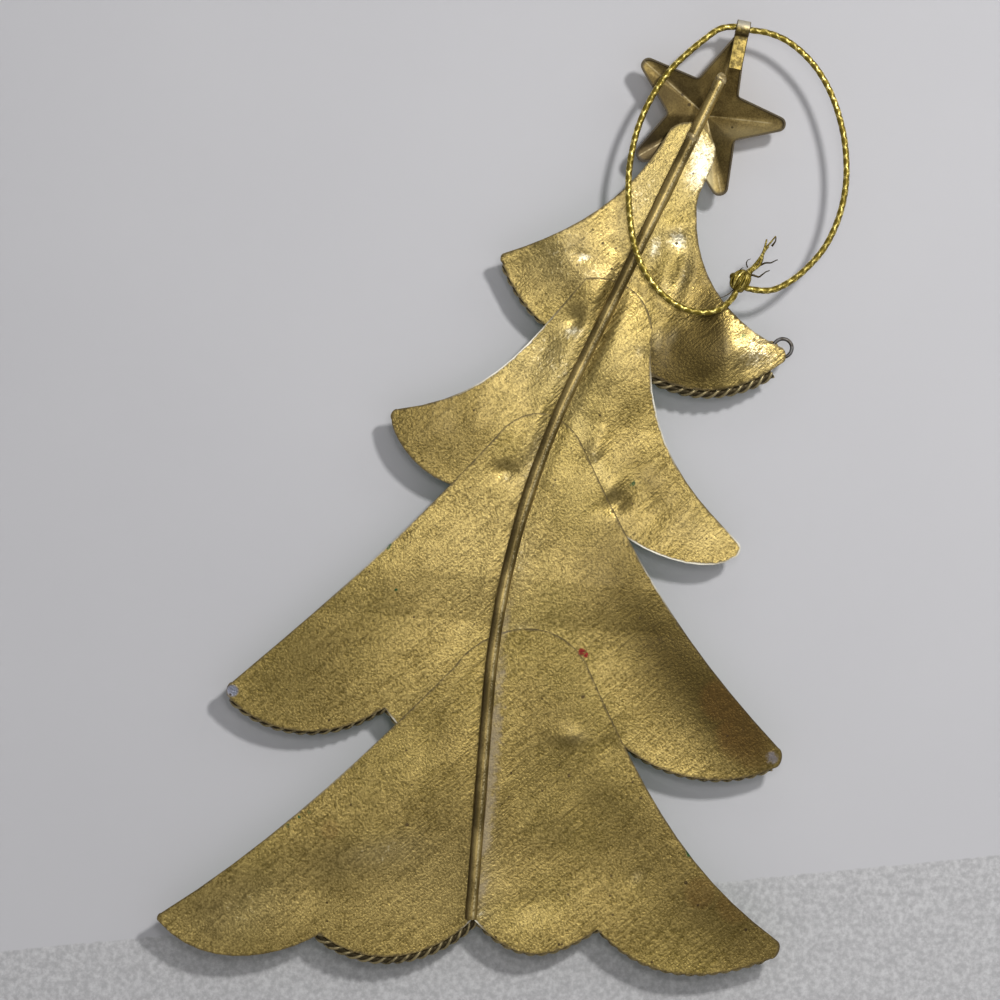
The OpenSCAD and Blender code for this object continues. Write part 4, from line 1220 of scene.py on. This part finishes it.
def gilt_sheet():
    """Bronze paint in strokes, with painted shade and painted highlights on it, and a coat for each stain
    and for the dust.
    """
    paint = Finish("gilt_sheet_paint")
    x, _, z = paint.xyz()
    grain = paint.noise(0.6 * MM, 2, 0.6)
    coarse = paint.noise(1.7 * MM, 4, 0.62)
    cloud = paint.noise(22 * MM, 3, 0.55, distortion=0.6)
    brushed = stroke(paint, 1.3 * MM, 5, 38)
    scratch = stroke(paint, 0.6 * MM, 14, 42, 2.0)
    wide = stroke(paint, 6 * MM, 4, 42)
    tone = (grain * 0.36 + brushed * 0.14 + scratch * 0.14 + coarse * 0.15 + cloud * 0.06
            + wide * 0.11 + 0.02)
    olive = paint.step(paint.noise(30 * MM, 2), 0.42, 0.68)
    # painted shade and painted highlights: darker and paler where the real metal would look dark or
    # bright under the lamps
    painted_shade, painted_highlight, edge = paint.kept("painted_shade"), paint.kept("painted_highlight"), paint.kept("from_edge")
    # the painted highlight sharpened into white flecks
    highlight_flecks = paint.step(painted_highlight + (coarse - 0.5) * 0.9 + (grain - 0.5) * 0.6, 0.32, 0.95)
    # painted shade: a dark line along the cut edges
    edge_shade = paint.step(edge + (coarse - 0.5) * 1.4, 0.8, 0.05)
    # painted highlight: bright lines on the cut edges
    painted_glint = paint.kept("painted_glint") * paint.step(edge + (coarse - 0.5) * 0.6, 0.5, 0.15)
    tip = paint.near(GREY_TIP, x, z)
    foot = rod_foot * MM
    beside = ((x - float(foot[0])) * float(np.cos(np.radians(FOOT_LEAN)))
              - (z - float(foot[1])) * float(np.sin(np.radians(FOOT_LEAN)))) * (1 / MM)
    height = z * (1 / MM)
    flux = (paint.step(beside, *FLUX_ACROSS) * paint.step(beside + (coarse - 0.5) * 7, *FLUX_FADE)
            * paint.step(height, *FLUX_TOP) * paint.step(height, *FLUX_FOOT)
            * paint.step(wide, 0.36, 0.58))
    dust = paint.step(paint.specks(5.5 * MM), 0.075, 0.05) * paint.step(cloud, 0.45, 0.5)
    colour = paint.layered(
        paint.mix(paint.step(tone, 0.36, 0.64), BRONZE_DARK, BRONZE),
        (olive * 0.16, OLIVE), (painted_shade, PAINTED_SHADE_BROWN), (painted_highlight * 0.35, PAINTED_HIGHLIGHT_PALE), (highlight_flecks, HIGHLIGHT_FLECK_WHITE),
        (paint.near(RUST, x, z) * cloud * 0.4, RUST_BROWN),
        (edge_shade * 0.75, EDGE_SHADE_BROWN), (painted_glint, PAINTED_GLINT_WHITE),
        (paint.near(GREEN, x, z) * paint.step(coarse, 0.36, 0.56), DEEP_GREEN),
        (paint.near(RED, x, z) * paint.step(grain, 0.38, 0.5), DARK_RED),
        (paint.near(BLUE_TIP, x, z) * 0.85, BLUE_GREY),
        (tip * paint.step(coarse, 0.4, 0.6), WARM_GREY),
        (flux * (0.2 + coarse * 0.7), FLUX_GREY),
        (dust.above(paint.near(DIRT, x, z)) * 0.85, DUST_BROWN))
    relief = grain * 0.5 + brushed * 0.45 + scratch * 0.45 + coarse * 0.3 + wide * 0.35
    return paint.finish({
        "Base Color": colour, "Metallic": 0.88 - (edge_shade + flux + tip + painted_glint * 2).below(2) * 0.35,
        "Roughness": 0.2 + grain * 0.14 + coarse * 0.08 + (flux + edge_shade) * 0.2,
        "Coat Weight": 0.15 - edge_shade * 0.15, "Coat Roughness": 0.26,
        "Normal": paint.bump(relief, 0.32 * MM, 0.6)})


def green_enamel():
    """The hidden front: brushed green enamel over the gold, worn to gold at the edges."""
    enamel = Finish("green_enamel")
    coarse = enamel.noise(1.8 * MM, 4, 0.6)
    brushed = stroke(enamel, 1.2 * MM, 5, 65)
    deep = enamel.mix(enamel.step(brushed * 0.6 + coarse * 0.5, 0.35, 0.75),
                      (0.008, 0.065, 0.022), (0.03, 0.17, 0.05))
    worn = enamel.step(enamel.kept("from_edge") + (coarse - 0.5) * 1.2, 1.5, 0.7)
    colour = enamel.mix(worn, deep, (0.5, 0.36, 0.11))
    return enamel.finish({
        "Base Color": colour, "Metallic": worn * 0.85,
        "Roughness": 0.3 + brushed * 0.15, "Coat Weight": 0.25, "Coat Roughness": 0.2,
        "Normal": enamel.bump(brushed * 0.6 + coarse * 0.6, 0.16 * MM, 0.5)})


sheet_paint, front_paint = gilt_sheet(), green_enamel()
painted(sheet_paint, *sheets)
painted(front_paint, *sheets)
for sheet in sheets:
    facing = values_of(sheet.data.polygons, "normal")[:, 1]
    sheet.data.polygons.foreach_set("material_index", (facing > 0.5).astype(np.int32))
print("sheets painted")

# %% [markdown]
# ## Rod, strap and star
# The rod wears the same gold. Painted shade makes it brown on its left side, a pale band right of
# its middle is worn paint and painted highlight at once, and its colour changes in blotches. The
# strap is cleaner. The star is duller and browner than the sheets.

# %% Rod and strap materials
def gilt_wire(name, dark, light, blotch, roughness):
    """Gold in blotches of a size, with scuffs, a pale band that is wear and painted highlight at
    once, darker rims, a painted highlight on the strap's curl, and painted shade on the rod's left
    side and below the curl.
    """
    wire = Finish(name)
    fine = wire.noise(0.5 * MM, 3, 0.65)
    patch = wire.noise(blotch, 3, 0.6)
    tone = wire.step(fine * 0.3 + patch * 0.75, 0.42, 0.66)
    scuffs = wire.step(wire.noise(1.6 * MM, 4, 0.7), 0.68, 0.73)
    # blotches that break up the pale band, which is worn paint and painted highlight at once
    worn = wire.step(fine * 0.7 + patch * 0.3, 0.44, 0.6)
    ridge_wear_and_highlight = wire.step((wire.kept("side") - 0.36).size(), 0.24, 0.04) * worn
    rim = wire.kept("rim")
    # darker rims, and painted shade from the kept number: the rod's left side, and below the strap's curl
    painted_shade_and_rims = wire.step(rim * rim, 0.62, 0.85).above(wire.kept("dark"))
    # the strap's curl gets a painted highlight, the band a pale colour, the rims and painted shade dark
    # brown
    colour = wire.layered(
        wire.mix(tone, dark, light), (scuffs * 0.6, (0.08, 0.05, 0.025)),
        (wire.kept("curl_highlight") * 0.9, (0.66, 0.62, 0.5)), (ridge_wear_and_highlight * 0.75, (0.80, 0.68, 0.38)),
        (painted_shade_and_rims * 0.8, (0.06, 0.042, 0.02)))
    return wire.finish({
        "Base Color": colour, "Metallic": 0.82 - scuffs * 0.2,
        "Roughness": roughness + fine * 0.1 + scuffs * 0.15,
        "Coat Weight": 0.1, "Coat Roughness": 0.2,
        "Normal": wire.bump(fine * 0.6 + patch * 0.25, 0.14 * MM, 0.6)})


painted(gilt_wire("gilt_rod_paint", (0.13, 0.092, 0.026), (0.42, 0.31, 0.11), 14 * MM, 0.31), rod)
painted(gilt_wire("gilt_strap_paint", (0.12, 0.085, 0.018), (0.50, 0.37, 0.10), 1.6 * MM, 0.42),
        strap)
print("rod and strap painted")

# %% Star material
# painted shade on arms and facets that the lamps light brighter than the real star looks, and painted
# highlights on two lit facets
STAR_PAINTED_SHADE = [(672, 92, 7, 5, 0, 0.75), (645, 147, 8, 6, 0, 1.0), (636, 155, 7, 5, 0, 0.8),
             (690, 125, 5, 3, 0, 0.5), (735, 165, 3, 8, 0, 0.3)]
STAR_PAINTED_HIGHLIGHT = [(706, 180, 1.9, 5.5, 0, 0.8), (745, 131, 9, 2.2, 0, 0.25)]
STAR_FLECKS = [(683, 93, 0.5), (733, 126, 0.4), (690, 103, 0.6)]
mark(star, "painted_shade", soft_spots(STAR_PAINTED_SHADE, star_points))
mark(star, "painted_highlight", soft_spots(STAR_PAINTED_HIGHLIGHT, star_points) * in_hollow)


def star_paint():
    """Dull brown gold, lighter on the outside and dark on the rim, with painted shade on some arms and
    painted highlights on lit facets, and wear and painted highlight along the folds.
    """
    paint = Finish("star_paint")
    fine = paint.noise(0.45 * MM, 3, 0.6)
    patch = paint.noise(5 * MM, 4, 0.6)
    hollow, lip = paint.kept("hollow"), paint.kept("lip")
    # wear and painted highlight along the folds
    fold_wear_and_highlight = paint.step(paint.kept("from_fold"), 0.26, 0.08) * paint.step(patch, 0.4, 0.6)
    x, _, z = paint.xyz()
    colour = paint.layered(
        paint.mix(paint.step(fine * 0.5 + patch * 0.6, 0.38, 0.72),
                  (0.15, 0.105, 0.034), (0.34, 0.25, 0.088)),
        ((1 - hollow) * (1 - lip) * 0.5, (0.5, 0.36, 0.13)),
        (paint.kept("painted_shade") * 0.85, (0.06, 0.043, 0.022)),
        (paint.kept("painted_highlight"), (0.74, 0.64, 0.36)), (fold_wear_and_highlight * 0.5, (0.62, 0.52, 0.3)),
        (lip * 0.85, (0.03, 0.022, 0.012)),
        (paint.near(STAR_FLECKS, x, z) * 0.8, (0.05, 0.035, 0.02)))
    return paint.finish({
        "Base Color": colour, "Metallic": 0.85 - lip * 0.4, "Roughness": 0.46 + fine * 0.12,
        "Normal": paint.bump(fine * 0.6 + patch * 0.5, 0.16 * MM, 0.6)})


painted(star_paint(), star)
print("star painted")

# %% [markdown]
# ## Ropes, ring, solder and cord
# The ropes are dark with bright ridges: the kept number says whether a point is on a ridge wire
# or the core, and the core's dark colour is painted shade between the wires. The ring is bare
# steel. Solder is pale under thin paint. The cord's yarn is light in painted glints, where noise
# and the braid's crests are high, and dark elsewhere, which paints shade into the gaps between
# its threads.

# %% Rope, ring, solder and cord materials
def rope_paint():
    paint = Finish("rope_paint")
    crest = paint.kept("crest")
    fine = paint.noise(0.6 * MM, 3, 0.6)
    patch = paint.noise(6 * MM, 3, 0.6)
    # painted shade: the core is dark as the gaps between the wires, and the wires are light
    colour = paint.mix(crest * paint.step(fine * 0.5 + patch * 0.5, 0.3, 0.55),
                       (0.055, 0.042, 0.02), (0.38, 0.31, 0.16))
    return paint.finish({
        "Base Color": colour, "Metallic": 0.85, "Roughness": 0.42 + fine * 0.2 - crest * 0.08,
        "Normal": paint.bump(fine, 0.12 * MM, 0.5)})


def ring_steel():
    steel = Finish("ring_steel_wire")
    fine = steel.noise(0.5 * MM, 3, 0.6)
    dull = steel.noise(2.2 * MM, 3, 0.6)
    colour = steel.mix(steel.step(dull, 0.4, 0.62), (0.15, 0.145, 0.14), (0.075, 0.064, 0.052))
    return steel.finish({
        "Base Color": colour, "Metallic": 0.95, "Roughness": 0.34 + fine * 0.2,
        "Normal": steel.bump(fine, 0.08 * MM, 0.4)})


def solder_metal(name, light, dark):
    metal = Finish(name)
    fine = metal.noise(0.5 * MM, 4, 0.65)
    patch = metal.noise(2.4 * MM, 3, 0.6)
    colour = metal.mix(metal.step(patch * 0.7 + fine * 0.4, 0.42, 0.68), light, dark)
    return metal.finish({
        "Base Color": colour, "Metallic": 0.85, "Roughness": 0.36 + fine * 0.2,
        "Normal": metal.bump(fine + patch * 0.5, 0.2 * MM, 0.6)})


def cord_yarn(name, dark, light):
    yarn = Finish(name)
    crest = yarn.kept("crest")
    fine = yarn.noise(0.35 * MM, 2, 0.6)
    painted_glint = yarn.noise(0.9 * MM, 3, 0.7)
    # painted glints where noise and the braid's crests are high; the dark yarn elsewhere is painted shade
    # in the gaps
    painted_shine = yarn.step(crest * 0.35 + painted_glint * 1.1, 0.74, 1.02)
    colour = yarn.mix(painted_shine, dark, light)
    return yarn.finish({
        "Base Color": colour, "Metallic": 0.8, "Roughness": 0.40 - painted_shine * 0.16 + fine * 0.1,
        "Normal": yarn.bump(fine, 0.1 * MM, 0.6)})


print("four more finishes can be made")

# %% Painting the ropes, the ring, the solder and the cord
painted(rope_paint(), *ropes)
painted(ring_steel(), ring)
pale_solder = solder_metal("solder_pale", (0.56, 0.46, 0.25), (0.30, 0.22, 0.09))
painted_solder = solder_metal("solder_painted", (0.42, 0.32, 0.13), (0.24, 0.17, 0.06))
for thing, metal in zip(solder, (sheet_paint, pale_solder, pale_solder, painted_solder)):
    painted(metal, thing)
painted(cord_yarn("cord_yarn_gold", (0.19, 0.14, 0.018), (0.82, 0.67, 0.2)),
        cord_left, cord_right, knot, frays)
painted(cord_yarn("cord_yarn_dark", (0.05, 0.035, 0.012), (0.22, 0.15, 0.04)), dark_hairs)
print("all finishes made")

# %% [markdown]
# ## Stage and light
# The ornament stands against a pale grey board on a pale floor. The board has one side only, so
# that views from behind see the decorated front. One small lamp at the upper right throws the
# soft shadows to the lower left, large dim ones fill both sides, and the world is an even grey.

# %% A matt surface with one side
centre = (middle[0], 0, middle[1])
BOARD_Y, FLOOR_Z = 11.5 * MM, cad_box[0][2] - 9 * MM
BOARD_LEFT, BOARD_RIGHT, BOARD_TOP, FLOOR_HALF = -0.9, 0.8, 0.6, 4
# where the far floor begins and where it is all far: in Y, and in squared distance
FAR_IN_FRONT, FAR_AROUND = (-0.08, -0.22), (0.3 ** 2, 0.6 ** 2)


def plane(name, corners):
    mesh = bpy.data.meshes.new(name)
    mesh.from_pydata(corners, [], [(0, 1, 2, 3)])
    thing = placed(name, mesh)
    return thing


def one_sided(name, colour_of, roughness, plain_far=False):
    """A matt surface that is clear from behind and to the light of the lamps beyond it, for a
    board that must not hide or darken the object. With plain_far, places away from the object
    are seen in one plain colour, because the floor under the lamps is lit unevenly."""
    board = Finish(name)
    matt = board.node("ShaderNodeBsdfPrincipled", {}, {
        "Base Color": colour_of(board), "Roughness": roughness, "Specular IOR Level": 0.2})
    clear = board.node("ShaderNodeBsdfTransparent", {}, {})
    behind = board.value(board.node("ShaderNodeNewGeometry", {}, {}).outputs["Backfacing"])
    rays = board.node("ShaderNodeLightPath", {}, {})
    shadow = rays.outputs["Is Shadow Ray"]
    if plain_far:
        x, y, _ = board.xyz()
        x = x - float(centre[0])
        far = board.step(y, *FAR_IN_FRONT).above(board.step(x * x + y * y, *FAR_AROUND))
        far = far * board.value(rays.outputs["Is Camera Ray"]).above(
            rays.outputs["Is Glossy Ray"]).above(rays.outputs["Is Transmission Ray"])
        plain = board.node("ShaderNodeEmission", {}, {"Color": (0.36, 0.36, 0.37, 1)})
        matt = board.node("ShaderNodeMixShader", {}, {0: far, 1: matt.outputs[0],
                                                      2: plain.outputs[0]})
    mixed = board.node("ShaderNodeMixShader", {}, {0: behind.above(shadow), 1: matt.outputs[0],
                                                  2: clear.outputs[0]})
    board.tree.links.new(mixed.outputs[0],
                         board.node("ShaderNodeOutputMaterial", {}, {}).inputs[0])
    return board.material


print("floor at", round(FLOOR_Z / MM, 1), "mm, board at", round(BOARD_Y / MM, 1), "mm")


# %% Board and floor
def floor_colour(maker):
    beads = maker.noise(1.6 * MM, 3, 0.7)
    return maker.mix(maker.step(beads, 0.3, 0.75), (0.40, 0.40, 0.41), (0.58, 0.58, 0.59))


def board_colour(maker):
    """Plain grey above a line, and the floor's own colour below it."""
    x, _, z = maker.xyz()
    left, right = on_plane(100, 945), on_plane(900, 868)
    slope = float((right[1] - left[1]) / (right[0] - left[0]))
    height = z - (x - float(left[0])) * slope - float(left[1])
    grey = maker.mix(maker.noise(120 * MM, 2), (0.50, 0.50, 0.525), (0.56, 0.56, 0.58))
    return maker.mix(maker.step(height + (maker.noise(3 * MM, 2) - 0.5) * 0.0012, 0.0003, -0.0003),
                     grey, floor_colour(maker))


board = plane("stage_board", [
    (BOARD_LEFT, BOARD_Y, FLOOR_Z), (BOARD_RIGHT, BOARD_Y, FLOOR_Z),
    (BOARD_RIGHT, BOARD_Y, BOARD_TOP), (BOARD_LEFT, BOARD_Y, BOARD_TOP)])
painted(one_sided("stage_board_grey", board_colour, 0.7), board)
floor = plane("stage_floor", [(x * FLOOR_HALF, y * FLOOR_HALF, FLOOR_Z)
                              for x, y in ((-1, -1), (1, -1), (1, 1), (-1, 1))])
painted(one_sided("stage_floor_pale", floor_colour, 0.8, plain_far=True), floor)
print("stage is set")

# %% Lamps and world
def lamp(name, at, towards, size, power, colour=(1, 1, 1)):
    data = bpy.data.lights.new(name, "AREA")
    data.shape, data.size, data.energy, data.color = "DISK", size, power, colour
    thing = placed(name, data)
    thing.location = at
    way = Vector(towards) - Vector(at)
    thing.rotation_euler = way.to_track_quat("-Z", "Y").to_euler()


lamp("key", (0.33, -0.80, 0.27), centre, 0.10, 5.5, (1, 0.985, 0.96))
lamp("near_camera", (0.015, -0.9, -0.02), (-0.035, 0, -0.09), 0.20, 1.15, (1, 0.99, 0.98))
lamp("room", (-0.1, -1.6, -0.1), centre, 1.2, 0.6)
lamp("window", (1.3, -0.8, 0.7), centre, 0.9, 2.5)
lamp("ceiling", (-0.25, -1.0, 1.25), centre, 0.9, 1.5)
lamp("fill_front", (-0.6, 1.7, 1.0), centre, 0.8, 9)
lamp("fill_front_low", (0.9, 1.8, 0.5), centre, 0.6, 6)
world = bpy.data.worlds.new("studio")
world.use_nodes = True
background = world.node_tree.nodes["Background"]
seen = world.node_tree.nodes.new("ShaderNodeMix")
seen.data_type = "RGBA"
seen.inputs[6].default_value = (0.18, 0.18, 0.186, 1)
seen.inputs[7].default_value = (0.34, 0.34, 0.35, 1)
rays = world.node_tree.nodes.new("ShaderNodeLightPath")
shown = rays.outputs["Is Camera Ray"]
for ray in ("Is Glossy Ray", "Is Transmission Ray"):
    either = world.node_tree.nodes.new("ShaderNodeMath")
    either.operation = "MAXIMUM"
    world.node_tree.links.new(shown, either.inputs[0])
    world.node_tree.links.new(rays.outputs[ray], either.inputs[1])
    shown = either.outputs[0]
world.node_tree.links.new(shown, seen.inputs[0])
world.node_tree.links.new(seen.outputs[2], background.inputs["Color"])
bpy.context.scene.world = world
bpy.context.scene.view_settings.view_transform = "Standard"
print("lamps and world are set")
